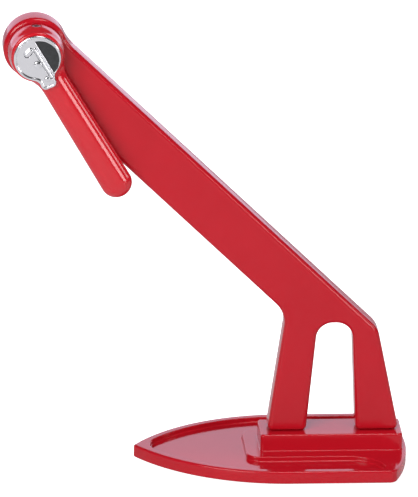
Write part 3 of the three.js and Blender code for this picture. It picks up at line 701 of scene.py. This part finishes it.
def draw_dowel(tree, given):
    """A pin with a chamfer at each end."""
    length, radius, chamfer = given["Length"], given["Radius"], given["Chamfer"]
    both = add(tree, "ShaderNodeMath", {0: chamfer, 1: 2.0}, operation="MULTIPLY")
    straight = add(tree, "ShaderNodeMath", {0: length, 1: both.outputs[0]}, operation="SUBTRACT")
    bar = add(tree, "GeometryNodeMeshCylinder", {
        "Vertices": 32,
        "Radius": radius,
        "Depth": straight.outputs[0],
    }, fill_type="NGON")
    ends = add(tree, "ShaderNodeMath", {
        0: bar.outputs["Top"],
        1: bar.outputs["Bottom"],
    }, operation="MAXIMUM")
    longer = add(tree, "GeometryNodeExtrudeMesh", {
        "Mesh": bar.outputs["Mesh"],
        "Selection": ends.outputs[0],
        "Offset Scale": chamfer,
    })
    drawn_back = add(tree, "ShaderNodeMath", {0: chamfer, 1: radius}, operation="DIVIDE")
    narrower = add(tree, "ShaderNodeMath", {0: 1.0, 1: drawn_back.outputs[0]}, operation="SUBTRACT")
    chamfered = add(tree, "GeometryNodeScaleElements", {
        "Geometry": longer.outputs["Mesh"],
        "Selection": longer.outputs["Top"],
        "Scale": narrower.outputs[0],
    })
    half = add(tree, "ShaderNodeMath", {0: length, 1: 0.5}, operation="MULTIPLY")
    middle = add(tree, "ShaderNodeCombineXYZ", {"Z": half.outputs[0]})
    pin = add(tree, "GeometryNodeTransform", {
        "Geometry": chamfered.outputs["Geometry"],
        "Translation": middle.outputs[0],
    })
    return pin.outputs["Geometry"]


# Blackened steel: dark blue-grey oxide with an oily gloss, uneven in patches of 2 mm.
black_oxide, tree, surface, place, blend = finish_of("black oxide on rolled steel", {
    "Metallic": 1.0,
}, "ShaderNodeTexNoise", {"Scale": 600.0, "Detail": 4.0}, ("#2C2E33", "#45484D"))
sheen = add(tree, "ShaderNodeMapRange", {
    "Value": blend,
    "To Min": 0.3,
    "To Max": 0.5,
})
tree.links.new(sheen.outputs["Result"], surface.inputs["Roughness"])

screw_sizes = {
    "Head radius": SCREW_HEAD,
    "Head height": SCREW_HEAD_HEIGHT,
    "Socket radius": SOCKET,
    "Socket depth": SOCKET_DEPTH,
    "Shank radius": SCREW_SHANK,
    "Length": SCREW_LENGTH,
    "Pitch": THREAD_PITCH,
    "Thread depth": THREAD_DEPTH,
}
screw_tree = repeat_tree("socket screw", screw_sizes, draw_screw, black_oxide)
screws = repeated("socket_screws", [(x, 0, SCREW_LOW) for x in SCREW_XS], screw_tree, screw_sizes)
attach(screws, "stand")
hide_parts("stand_screw_left", "stand_screw_right")

# Zinc-plated steel: pale, slightly blue, with a cloudy bloom of 3 mm from the bath.
zinc, tree, surface, place, blend = finish_of("zinc plate on stamped steel", {
    "Metallic": 1.0,
}, "ShaderNodeTexNoise", {"Scale": 350.0, "Detail": 5.0}, ("#B4B9C0", "#CDD0D3"))
sheen = add(tree, "ShaderNodeMapRange", {
    "Value": blend,
    "To Min": 0.22,
    "To Max": 0.42,
})
tree.links.new(sheen.outputs["Result"], surface.inputs["Roughness"])

washer_sizes = {"Outer radius": WASHER_OUTER, "Wire": WASHER_WIRE, "Rise": WASHER_RISE}
washer_tree = repeat_tree("spring washer", washer_sizes, draw_spring_washer, zinc)
washer_places = [(x, 0, SCREW_LOW + SCREW_HEAD_HEIGHT + WASHER_START) for x in SCREW_XS]
washers = repeated("spring_washers", washer_places, washer_tree, washer_sizes)
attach(washers, "stand")
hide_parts("spring_washer_left", "spring_washer_right")

# Ground steel: bright, with the fine marks of the wheel, drawn 0.4 mm apart to show.
ground_steel, tree, surface, place = finish_of("ground bearing steel", {
    "Base Color": (*linear("#C3C6CA"), 1),
    "Metallic": 1.0,
    "Roughness": 0.18,
})
marks = add(tree, "ShaderNodeTexNoise", {"Vector": place, "Scale": 2500.0})
fine = add(tree, "ShaderNodeBump", {
    "Height": marks.outputs["Fac"],
    "Strength": 0.2,
    "Distance": 0.00001,
})
tree.links.new(fine.outputs["Normal"], surface.inputs["Normal"])

dowel_sizes = {"Radius": DOWEL_RADIUS, "Length": DOWEL_HIGH - DOWEL_LOW, "Chamfer": DOWEL_CHAMFER}
dowel_tree = repeat_tree("dowel", dowel_sizes, draw_dowel, ground_steel)
dowels = repeated("dowels", [(x, 0, DOWEL_LOW) for x in DOWEL_XS], dowel_tree, dowel_sizes)
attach(dowels, "stand")
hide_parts("dowel_left", "dowel_right")


# ---- Bushes and washers of the shaft ----
# Two flanged bushes of sintered bronze are pressed into the head. A steel washer takes
# the hub's thrust in front; a nylon one drags behind, under the steel one of the nut.
# Places along the shaft are measured from the middle of the stand towards the lever.
BORE, BUSH_RADIUS, FLANGE_RADIUS, FLANGE = 5.1, 6.7, 9.6, 1.2
BUSH_END = 1.2
WASHER_RADIUS, WASHER_HOLE, NUT_WASHER_HOLE = 9.0, 5.3, 4.3
THRUST = (7.5, 8.3)
FRICTION = (-8.5, -7.5)
NUT_WASHER = (-10.0, -8.8)
BREAK, TURN_SIDES = 0.15, 72   # broken edge of a turned or stamped ring, and its sides


def on_shaft(across_shaft, up_shaft, along):
    """A point about the shaft's axis, with +along towards the lever."""
    return Vector((SHAFT.x + across_shaft, -along, SHAFT.y + up_shaft))


def turned(bm, profile):
    """A closed ring about the shaft from (radius, along) points that go round its section."""
    rows = []
    for i in range(TURN_SIDES):
        x, y = math.cos(2 * math.pi * i / TURN_SIDES), math.sin(2 * math.pi * i / TURN_SIDES)
        rows.append([bm.verts.new(on_shaft(r * x, r * y, z)) for r, z in profile])
    for i in range(TURN_SIDES):
        for j in range(len(profile)):
            bm.faces.new((rows[i - 1][j - 1], rows[i - 1][j], rows[i][j], rows[i][j - 1]))


def broken(corners, size=BREAK):
    """A ring's section with each of its corners broken by two small facets."""
    made = []
    for i, here in enumerate(corners):
        here = Vector(here)
        back = (Vector(corners[i - 1]) - here).normalized() * size
        on = (Vector(corners[(i + 1) % len(corners)]) - here).normalized() * size
        middle = here + (back + on) * 0.3
        made += [here + back * 2.5, here + back, middle, here + on, here + on * 2.5]
    return made


# Sintered bronze: warm brown-gold and satin, full of the pores that hold its oil, which
# are drawn half a millimetre apart so that they show.
bronze, tree, surface, place, _ = finish_of("sintered oil bronze", {
    "Metallic": 1.0,
    "Roughness": 0.38,
}, "ShaderNodeTexVoronoi", {"Scale": 2200.0}, ("#7E5C2C", "#B8914F"))

for name, side in (("front", 1), ("rear", -1)):
    bm = bmesh.new()
    turned(bm, broken([
        (BORE, side * BUSH_END),
        (BUSH_RADIUS, side * BUSH_END),
        (BUSH_RADIUS, side * (STAND_HALF - FLANGE)),
        (FLANGE_RADIUS, side * (STAND_HALF - FLANGE)),
        (FLANGE_RADIUS, side * STAND_HALF),
        (BORE, side * STAND_HALF),
    ]))
    bush = piece(f"bronze_bush_{name}", bm, bronze)
    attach(bush, "stand")
    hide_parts(f"bush_{name}")

# Nylon: milky off-white and waxy, lit a little from inside, in clouds of 4 mm.
nylon, tree, surface, place, _ = finish_of("turned natural nylon", {
    "Roughness": 0.42,
    "IOR": 1.53,
    "Subsurface Weight": 0.15,
    "Subsurface Scale": 0.001,
}, "ShaderNodeTexNoise", {"Scale": 260.0}, ("#DDD6C4", "#E9E4D6"))

steel, plastic = (zinc, "washer_steel"), (nylon, "washer_nylon")
for name, node, (low, high), hole, (material, slot_name), body_name in (
    ("steel_thrust_washer", "thrust_washer", THRUST, WASHER_HOLE, steel, "stand"),
    ("nylon_friction_washer", "friction_washer", FRICTION, WASHER_HOLE, plastic, "stand"),
    ("steel_nut_washer", "rear_washer", NUT_WASHER, NUT_WASHER_HOLE, steel, "crank"),
):
    bm = bmesh.new()
    turned(bm, broken([(hole, low), (WASHER_RADIUS, low), (WASHER_RADIUS, high), (hole, high)]))
    washer = piece(name, bm, material)
    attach(washer, body_name)
    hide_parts(node)


# ---- Shaft ----
# A turned steel pin, threaded at the back for the nut and flatted in the hub for the set
# screw. Only slivers of it can be seen, so the frame's own solid carries the finish.
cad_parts["crank_shaft"].data.materials.clear()
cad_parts["crank_shaft"].data.materials.append(ground_steel)


# ---- Dome nut ----
# An M8 acorn nut: a hexagon with its corners turned off at the washer, and a dome.
# Forged steel, polished and chromium plated.
NUT_FLATS, NUT_HIGH, NUT_LOW = 13.0, -10.3, -16.8
DOME_RADIUS, DOME_CENTRE, DOME_START, NUT_CHAMFER = 5.9, -16.0, -14.0, 30.0
NUT_TURN, NUT_EDGE, TURNED_EDGE, DOME_FILLET = 0.2, 0.2, 0.25, 0.5
NUT_REACH, NUT_MESH = ((-8, -8, -22.5), (8, 8, -9.5)), 0.28
NUDGE, ROUNDS, LEAST_SLOPE = 0.01, 6, 0.05     # how a net is moved onto its surface


def skin(name, distance, low, high, step, material, lay):
    """The surface where a distance function is nought, as a closed mesh of even quads.

    A net is drawn through the cells that the surface crosses, and its points are then
    moved onto the surface itself."""
    ticks = [np.arange(a, b + step, step) for a, b in zip(low, high)]
    grid = np.stack(np.meshgrid(*ticks, indexing="ij"), -1)
    value = distance(grid.reshape(-1, 3)).reshape(grid.shape[:3])
    inside = value < 0
    cells = [n - 1 for n in value.shape]
    corner = {}
    for offset in np.ndindex(2, 2, 2):
        span = tuple(slice(o, o + n) for o, n in zip(offset, cells))
        corner[offset] = inside[span].astype(int)
    count = sum(corner.values())
    crossed = (count > 0) & (count < 8)
    number = -np.ones(cells, int)
    number[crossed] = np.arange(crossed.sum())
    points = (np.argwhere(crossed) + 0.5) * step + np.array([t[0] for t in ticks])
    faces = []
    for axis in range(3):
        near, far = [slice(None)] * 3, [slice(None)] * 3
        near[axis], far[axis] = slice(0, -1), slice(1, None)
        first, second = inside[tuple(near)], inside[tuple(far)]
        for flip, change in ((False, first & ~second), (True, ~first & second)):
            at = np.argwhere(change)
            u, v = (axis + 1) % 3, (axis + 2) % 3
            around = []
            for du, dv in ((1, 1), (0, 1), (0, 0), (1, 0)):
                cell = at.copy()
                cell[:, u] -= du
                cell[:, v] -= dv
                around.append(number[cell[:, 0], cell[:, 1], cell[:, 2]])
            quads = np.stack(around, 1)
            faces.append(quads[:, ::-1] if flip else quads)
    for _ in range(ROUNDS):
        slope = np.stack([
            (distance(points + e) - distance(points - e)) / (2 * NUDGE) for e in np.eye(3) * NUDGE
        ], 1)
        steepness = np.maximum((slope ** 2).sum(1), LEAST_SLOPE)
        points -= np.clip(distance(points) / steepness, -step, step)[:, None] * slope
    bm = bmesh.new()
    verts = [bm.verts.new(lay(*p)) for p in points]
    for quad in np.concatenate(faces):
        bm.faces.new([verts[i] for i in quad])
    return piece(name, bm, material)


def softest(a, b, radius):
    """The higher of two distances, with the edge between them rounded."""
    return np.maximum(a, b) + np.maximum(radius - np.abs(a - b), 0) ** 2 / (4 * radius)


def melted(a, b, radius):
    """The lower of two distances, with a fillet between them."""
    return -softest(-a, -b, radius)


def nut_distance(p):
    """How far each point lies outside the nut, across and along the shaft."""
    radius = np.hypot(p[:, 0], p[:, 1])
    hexagon = np.max([
        np.abs(p[:, 0] * math.cos(a) + p[:, 1] * math.sin(a)) for a in np.radians((0, 60, 120))
    ], 0) - NUT_FLATS / 2
    slope = math.tan(math.radians(NUT_CHAMFER))
    cone = (radius - NUT_FLATS / 2 - NUT_TURN) * slope
    turned_off = cone - np.minimum(NUT_HIGH - p[:, 2], p[:, 2] - NUT_LOW)
    block = softest(hexagon, np.maximum(p[:, 2] - NUT_HIGH, NUT_LOW - p[:, 2]), NUT_EDGE)
    block = softest(block, turned_off, TURNED_EDGE)
    dome = np.sqrt(radius ** 2 + (p[:, 2] - DOME_CENTRE) ** 2) - DOME_RADIUS
    return melted(block, softest(dome, p[:, 2] - DOME_START, NUT_EDGE), DOME_FILLET)


# Chromium plate over polished steel: cool and bright, with polishing marks about a
# millimetre apart and a haze in 3 mm clouds that softens what it mirrors.
chrome, tree, surface, place = finish_of("chromium plate on polished steel", {
    "Base Color": (*linear("#E6E7EA"), 1),
    "Metallic": 1.0,
})
haze = add(tree, "ShaderNodeTexNoise", {"Vector": place, "Scale": 300.0, "Detail": 4.0})
sheen = add(tree, "ShaderNodeMapRange", {
    "Value": haze.outputs["Fac"],
    "To Min": 0.1,
    "To Max": 0.22,
})
tree.links.new(sheen.outputs["Result"], surface.inputs["Roughness"])
lines = add(tree, "ShaderNodeTexNoise", {"Vector": place, "Scale": 1100.0, "Detail": 2.0})
polish = add(tree, "ShaderNodeBump", {
    "Height": lines.outputs["Fac"],
    "Strength": 0.25,
    "Distance": 0.00002,
})
tree.links.new(polish.outputs["Normal"], surface.inputs["Normal"])

nut = skin("dome_nut_chromed", nut_distance, *NUT_REACH, NUT_MESH, chrome, on_shaft)
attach(nut, "crank")
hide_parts("dome_nut")


# ---- Handle ----
# A thick tapered hub and a flat, full-rounded lever that widens to its end. Cast in one
# piece, rubbed smooth and lacquered a brighter red than the stand.
LEVER_ANGLE = -59.1
LEVER_LENGTH, LEVER_ROOT, LEVER_END = 88.6, 7.8, 8.8
LEVER_BACK, LEVER_FRONT, LEVER_FULLNESS, LEVER_BLEND = 8.8, 20.4, 2.15, 9.0
HUB_BACK, HUB_STRAIGHT_END, HUB_FRONT = 8.6, 11.6, 21.5
HUB_RADIUS, HUB_FRONT_RADIUS, HUB_EDGE = 15.7, 14.2, 1.2
CAP_ANGLE = -7.5             # from the lever
CAP_RADIUS, TAB_LENGTH, TAB_HALF, TAB_CORNER, CAP_BLEND = 13.1, 19.0, 4.4, 2.8, 3.0
SEAT_BORDER, SEAT_BACK, SEAT_EDGE = 0.8, 17.0, 0.5
LEVER_FILLET, SEAT_FILLET = 1.6, 1.2
SHAFT_HOLE, SHAFT_HOLE_END = 5.3, 18.5
SET_SCREW_ANGLE, SET_SCREW_ALONG = 149.1, 11.35
SET_SCREW_HOLE, SET_SCREW_START, HUB_OVERCUT = 2.8, 2.0, 3.0
RIVETS = ((3.4, -1.6, 1.2), (13.3, -1.3, 0.8))     # along and across the lever, shank radius
RIVET_BACK, RIVET_PLAY = 19.3, 0.15
HANDLE_REACH, HANDLE_MESH = ((-17, -17, 7.6), (99, 17, 22.6)), 0.45


def by_lever(along_lever, across_lever, along):
    """A point drawn with the lever along +X, turned to where the lever hangs."""
    a = math.radians(LEVER_ANGLE)
    return on_shaft(
        along_lever * math.cos(a) - across_lever * math.sin(a),
        along_lever * math.sin(a) + across_lever * math.cos(a),
        along,
    )


def keyhole_distance(u, v, radius, length, half, corner):
    """A disc with a tab whose sides blend into it, in plan."""
    a = math.radians(CAP_ANGLE)
    u, v = u * math.cos(a) + v * math.sin(a), v * math.cos(a) - u * math.sin(a)
    q = np.stack([np.abs(u - length / 2) - length / 2 + corner, np.abs(v) - half + corner])
    tab = np.minimum(q.max(0), 0) + np.hypot(*np.maximum(q, 0)) - corner
    return melted(np.hypot(u, v) - radius, tab, CAP_BLEND)


def slab(plan, along, low, high, edge):
    """A plan given thickness, with full-rounded edges."""
    q = np.stack([plan + edge, np.abs(along - (low + high) / 2) - (high - low) / 2 + edge])
    return np.minimum(q.max(0), 0) + np.hypot(*np.maximum(q, 0)) - edge


def handle_distance(p):
    """How far each point lies outside the handle, along and across the lever and the shaft."""
    u, v, along = p.T
    radius = np.hypot(u, v)
    reach = np.clip(u / LEVER_LENGTH, 0, 1)
    stem = np.hypot(u - reach * LEVER_LENGTH, v) - LEVER_ROOT - (LEVER_END - LEVER_ROOT) * reach
    plan = melted(radius - HUB_FRONT_RADIUS, stem, LEVER_BLEND)
    half = (LEVER_FRONT - LEVER_BACK) / 2
    out = np.maximum(plan / LEVER_END + 1, 0) ** LEVER_FULLNESS
    up = (np.abs(along - (LEVER_FRONT + LEVER_BACK) / 2) / half) ** LEVER_FULLNESS
    lever = ((out + up) ** (1 / LEVER_FULLNESS) - 1) * half
    taper = np.clip((along - HUB_STRAIGHT_END) / (HUB_FRONT - HUB_STRAIGHT_END), 0, 1)
    side = radius - HUB_RADIUS + (HUB_RADIUS - HUB_FRONT_RADIUS) * taper
    faces = np.abs(along - (HUB_BACK + HUB_FRONT) / 2) - (HUB_FRONT - HUB_BACK) / 2
    hub = softest(side, faces, HUB_EDGE)
    seat_sizes = [n + SEAT_BORDER for n in (CAP_RADIUS, TAB_LENGTH, TAB_HALF, TAB_CORNER)]
    seat = slab(keyhole_distance(u, v, *seat_sizes), along, SEAT_BACK, HUB_FRONT, SEAT_EDGE)
    return melted(melted(hub, lever, LEVER_FILLET), seat, SEAT_FILLET)


# Lacquer, rubbed and polished: deeper gloss and a cleaner, warmer red than the castings,
# with a soft swell, 3 mm across, in its reflections and drifts of tone 17 mm across.
lacquer, tree, surface, place, _ = finish_of("polished red lacquer on cast zinc", {
    "Roughness": 0.14,
    "IOR": 1.45,
    "Coat Weight": 0.5,
    "Coat Roughness": 0.04,
}, "ShaderNodeTexNoise", {"Scale": 60.0, "Detail": 2.0}, ("#CB1422", "#D81A2A"))
swell = add(tree, "ShaderNodeTexNoise", {"Vector": place, "Scale": 320.0, "Detail": 1.0})
soft = add(tree, "ShaderNodeBump", {
    "Height": swell.outputs["Fac"],
    "Strength": 0.2,
    "Distance": 0.000006,
})
tree.links.new(soft.outputs["Normal"], surface.inputs["Normal"])

handle = skin("lever_handle", handle_distance, *HANDLE_REACH, HANDLE_MESH, lacquer, by_lever)
cut(handle, rods([(shaft_place, SHAFT_HOLE, HUB_BACK - HUB_OVERCUT, SHAFT_HOLE_END)], (0, -1, 0)))
screw_way = math.radians(LEVER_ANGLE + SET_SCREW_ANGLE)
screw_line = Vector((math.cos(screw_way), 0, math.sin(screw_way)))
screw_start = on_shaft(0, 0, SET_SCREW_ALONG)
tapped = (screw_start, SET_SCREW_HOLE, SET_SCREW_START, HUB_RADIUS + HUB_OVERCUT)
cut(handle, rods([tapped], screw_line))
mouth = HUB_FRONT + OVERCUT
holes = [(by_lever(u, v, 0), shank + RIVET_PLAY, RIVET_BACK, mouth) for u, v, shank in RIVETS]
cut(handle, rods(holes, (0, -1, 0)))
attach(handle, "crank")
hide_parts("crank_handle")


# ---- Set screw ----
# An M5 grub screw of zinc-plated steel with a hexagon socket, run in through the hub
# onto the shaft's flat. The frame's own solid has its shape and carries the finish.
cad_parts["set_screw"].data.materials.clear()
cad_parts["set_screw"].data.materials.append(zinc)


# ---- Cap ----
# A keyhole-shaped plate of chromed steel on the hub, with a rim, a straight rib, a short
# stub beside it and a dished part whose sunken floor carries a near-black painted dark reflection
# of the dim room.
CAP_BACK, CAP_FRONT, CAP_EDGE = 21.8, 23.5, 0.6
CAP_RIM, FIELD_DEPTH, FIELD_FILLET, RIM_EDGE = 1.7, 0.35, 0.25, 0.8
DISH_PLACE, DISH_RADIUS, DISH_SIDE, DISH_DEPTH = (1.45, 0.24), 11.2, 3.7, 0.9
DISH_CORNER, DISH_EDGE = 0.5, 0.3
RIB_START, RIB_END, RIB_ACROSS, RIB_HALF = -5.6, 14.2, 1.5, 0.7
STUB_START, STUB_LENGTH, STUB_HALF, STUB_TURN = (-5.7, -0.9), 3.0, 1.3, -74.0
RAISED, RAISED_FROM, RAISED_EDGE, RAISED_FILLET = 0.6, 1.2, 0.6, 0.3
GROOVE, GROOVE_DEPTH, GROOVE_EDGE = 0.5, 0.9, 0.15     # stamped round the rib and stub
HOLE_EDGE = 0.1
# The dish's floor takes a painted dark reflection from this depth below the field, on faces turned
# this squarely to the front.
DISH_REFLECTION_LEVEL, DISH_REFLECTION_FACING = 0.2, 0.2      # below the field, and how squarely to the front
CAP_REACH, CAP_MESH = ((-14, -14, 21.4), (20.5, 14, 24.6)), 0.16


def bar(u, v, start, end, half):
    """A straight bar with round ends, in plan."""
    way = np.array(end) - np.array(start)
    along = np.clip(((u - start[0]) * way[0] + (v - start[1]) * way[1]) / (way @ way), 0, 1)
    return np.hypot(u - start[0] - along * way[0], v - start[1] - along * way[1]) - half


def cap_distance(p):
    """How far each point lies outside the cap, along and across the lever and the shaft."""
    u, v, along = p.T
    plan = keyhole_distance(u, v, CAP_RADIUS, TAB_LENGTH, TAB_HALF, TAB_CORNER)
    plate = slab(plan, along, CAP_BACK, CAP_FRONT, CAP_EDGE)
    field_level = CAP_FRONT - FIELD_DEPTH
    field = softest(plan + CAP_RIM, field_level - along, FIELD_FILLET)
    plate = softest(plate, -field, RIM_EDGE)
    disc = np.hypot(u - DISH_PLACE[0], v - DISH_PLACE[1]) - DISH_RADIUS
    dish = softest(disc, DISH_SIDE - v, DISH_CORNER)
    dish = softest(dish, CAP_FRONT - DISH_DEPTH - along, DISH_EDGE)
    plate = softest(plate, -dish, DISH_EDGE)
    rib_ends = (RIB_START + RIB_HALF, RIB_ACROSS), (RIB_END - RIB_HALF, RIB_ACROSS)
    rib = bar(u, v, *rib_ends, RIB_HALF)
    a = math.radians(STUB_TURN)
    x, y = STUB_START
    stub_end = (x + STUB_LENGTH * math.cos(a), y + STUB_LENGTH * math.sin(a))
    stub = bar(u, v, STUB_START, stub_end, STUB_HALF)
    relief_plan = np.minimum(rib, stub)
    groove = softest(relief_plan - GROOVE, field_level - GROOVE_DEPTH - along, GROOVE_EDGE)
    plate = softest(plate, -groove, GROOVE_EDGE)
    relief = slab(relief_plan, along, CAP_FRONT - RAISED_FROM, CAP_FRONT + RAISED, RAISED_EDGE)
    holes = [np.hypot(u - x, v - y) - shank - RIVET_PLAY for x, y, shank in RIVETS]
    return softest(melted(plate, relief, RAISED_FILLET), -np.min(holes, 0), HOLE_EDGE)


# Painted dark reflection of the dim room on the dish's floor: satin, nearly black, with a faint
# millimetre speckle.
dish_painted_reflection, tree, surface, place, _ = finish_of("satin painted dark reflection in the dish", {
    "Roughness": 0.35,
    "IOR": 1.45,
}, "ShaderNodeTexNoise", {"Scale": 900.0, "Detail": 3.0}, ("#1E2022", "#3E4042"))

cap = skin("keyhole_cap", cap_distance, *CAP_REACH, CAP_MESH, chrome, by_lever)
# Faces sunk in the dish and facing the front are painted as a dark reflection of the room.
cap.data.materials.append(dish_painted_reflection)
turn = math.radians(LEVER_ANGLE)
for face in cap.data.polygons:
    x, y, z = face.center / MM
    across_lever = -(x - SHAFT.x) * math.sin(turn) + (z - SHAFT.y) * math.cos(turn)
    along_lever = (x - SHAFT.x) * math.cos(turn) + (z - SHAFT.y) * math.sin(turn)
    from_dish = math.hypot(along_lever - DISH_PLACE[0], across_lever - DISH_PLACE[1])
    in_dish = from_dish < DISH_RADIUS and across_lever > DISH_SIDE
    sunk = -y < CAP_FRONT - FIELD_DEPTH - DISH_REFLECTION_LEVEL
    if in_dish and sunk and face.normal.y < -DISH_REFLECTION_FACING:
        face.material_index = 1
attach(cap, "crank")
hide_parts("cap_plate")


# ---- Rivets of the cap ----
# Two small rivets of chromed steel hold the cap to the hub: a larger one by the shaft and
# a smaller one on the tab, each with a shallow domed head.
RIVET_HEADS = (2.2, 1.5)
RIVET_GAP, RIVET_DOME, RIVET_LENGTH = 0.15, 0.5, 4.0


def draw_rivet(tree, given):
    """A domed head, flattened from a ball with its back cut off, on a short shank."""
    ball = add(tree, "GeometryNodeMeshUVSphere", {
        "Segments": 32,
        "Rings": 16,
        "Radius": given["Head radius"],
    })
    flatness = add(tree, "ShaderNodeMath", {
        0: given["Dome"],
        1: given["Head radius"],
    }, operation="DIVIDE")
    squash = add(tree, "ShaderNodeCombineXYZ", {"X": 1.0, "Y": flatness.outputs[0], "Z": 1.0})
    dome = add(tree, "GeometryNodeTransform", {
        "Geometry": ball.outputs["Mesh"],
        "Scale": squash.outputs[0],
    })
    cutter = add(tree, "GeometryNodeMeshCube", {"Size": (0.02, 0.02, 0.02)})
    behind = add(tree, "GeometryNodeTransform", {
        "Geometry": cutter.outputs["Mesh"],
        "Translation": (0, 0.01, 0),
    })
    head = add(tree, "GeometryNodeMeshBoolean", {
        "Mesh 1": dome.outputs["Geometry"],
        "Mesh 2": behind.outputs["Geometry"],
    }, operation="DIFFERENCE")
    pin = add(tree, "GeometryNodeMeshCylinder", {
        "Vertices": 24,
        "Radius": given["Shank radius"],
        "Depth": given["Length"],
    })
    half = add(tree, "ShaderNodeMath", {0: given["Length"], 1: 0.5}, operation="MULTIPLY")
    back = add(tree, "ShaderNodeCombineXYZ", {"Y": half.outputs[0]})
    shank = add(tree, "GeometryNodeTransform", {
        "Geometry": pin.outputs["Mesh"],
        "Rotation": (math.pi / 2, 0, 0),
        "Translation": back.outputs[0],
    })
    join = add(tree, "GeometryNodeJoinGeometry")
    for part in (head.outputs["Mesh"], shank.outputs["Geometry"]):
        tree.links.new(part, join.inputs["Geometry"])
    return join.outputs["Geometry"]


rivet_tree = None
for node, (u, v, shank), head in zip(("cap_rivet_centre", "cap_rivet_tab"), RIVETS, RIVET_HEADS):
    rivet_sizes = {
        "Head radius": head,
        "Dome": RIVET_DOME,
        "Shank radius": shank,
        "Length": RIVET_LENGTH,
    }
    rivet_tree = rivet_tree or repeat_tree("domed rivet", rivet_sizes, draw_rivet, chrome)
    place_of_head = by_lever(u, v, CAP_FRONT + RIVET_GAP)
    rivet = repeated(f"domed_{node}", [place_of_head], rivet_tree, rivet_sizes)
    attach(rivet, "crank")
    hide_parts(node)
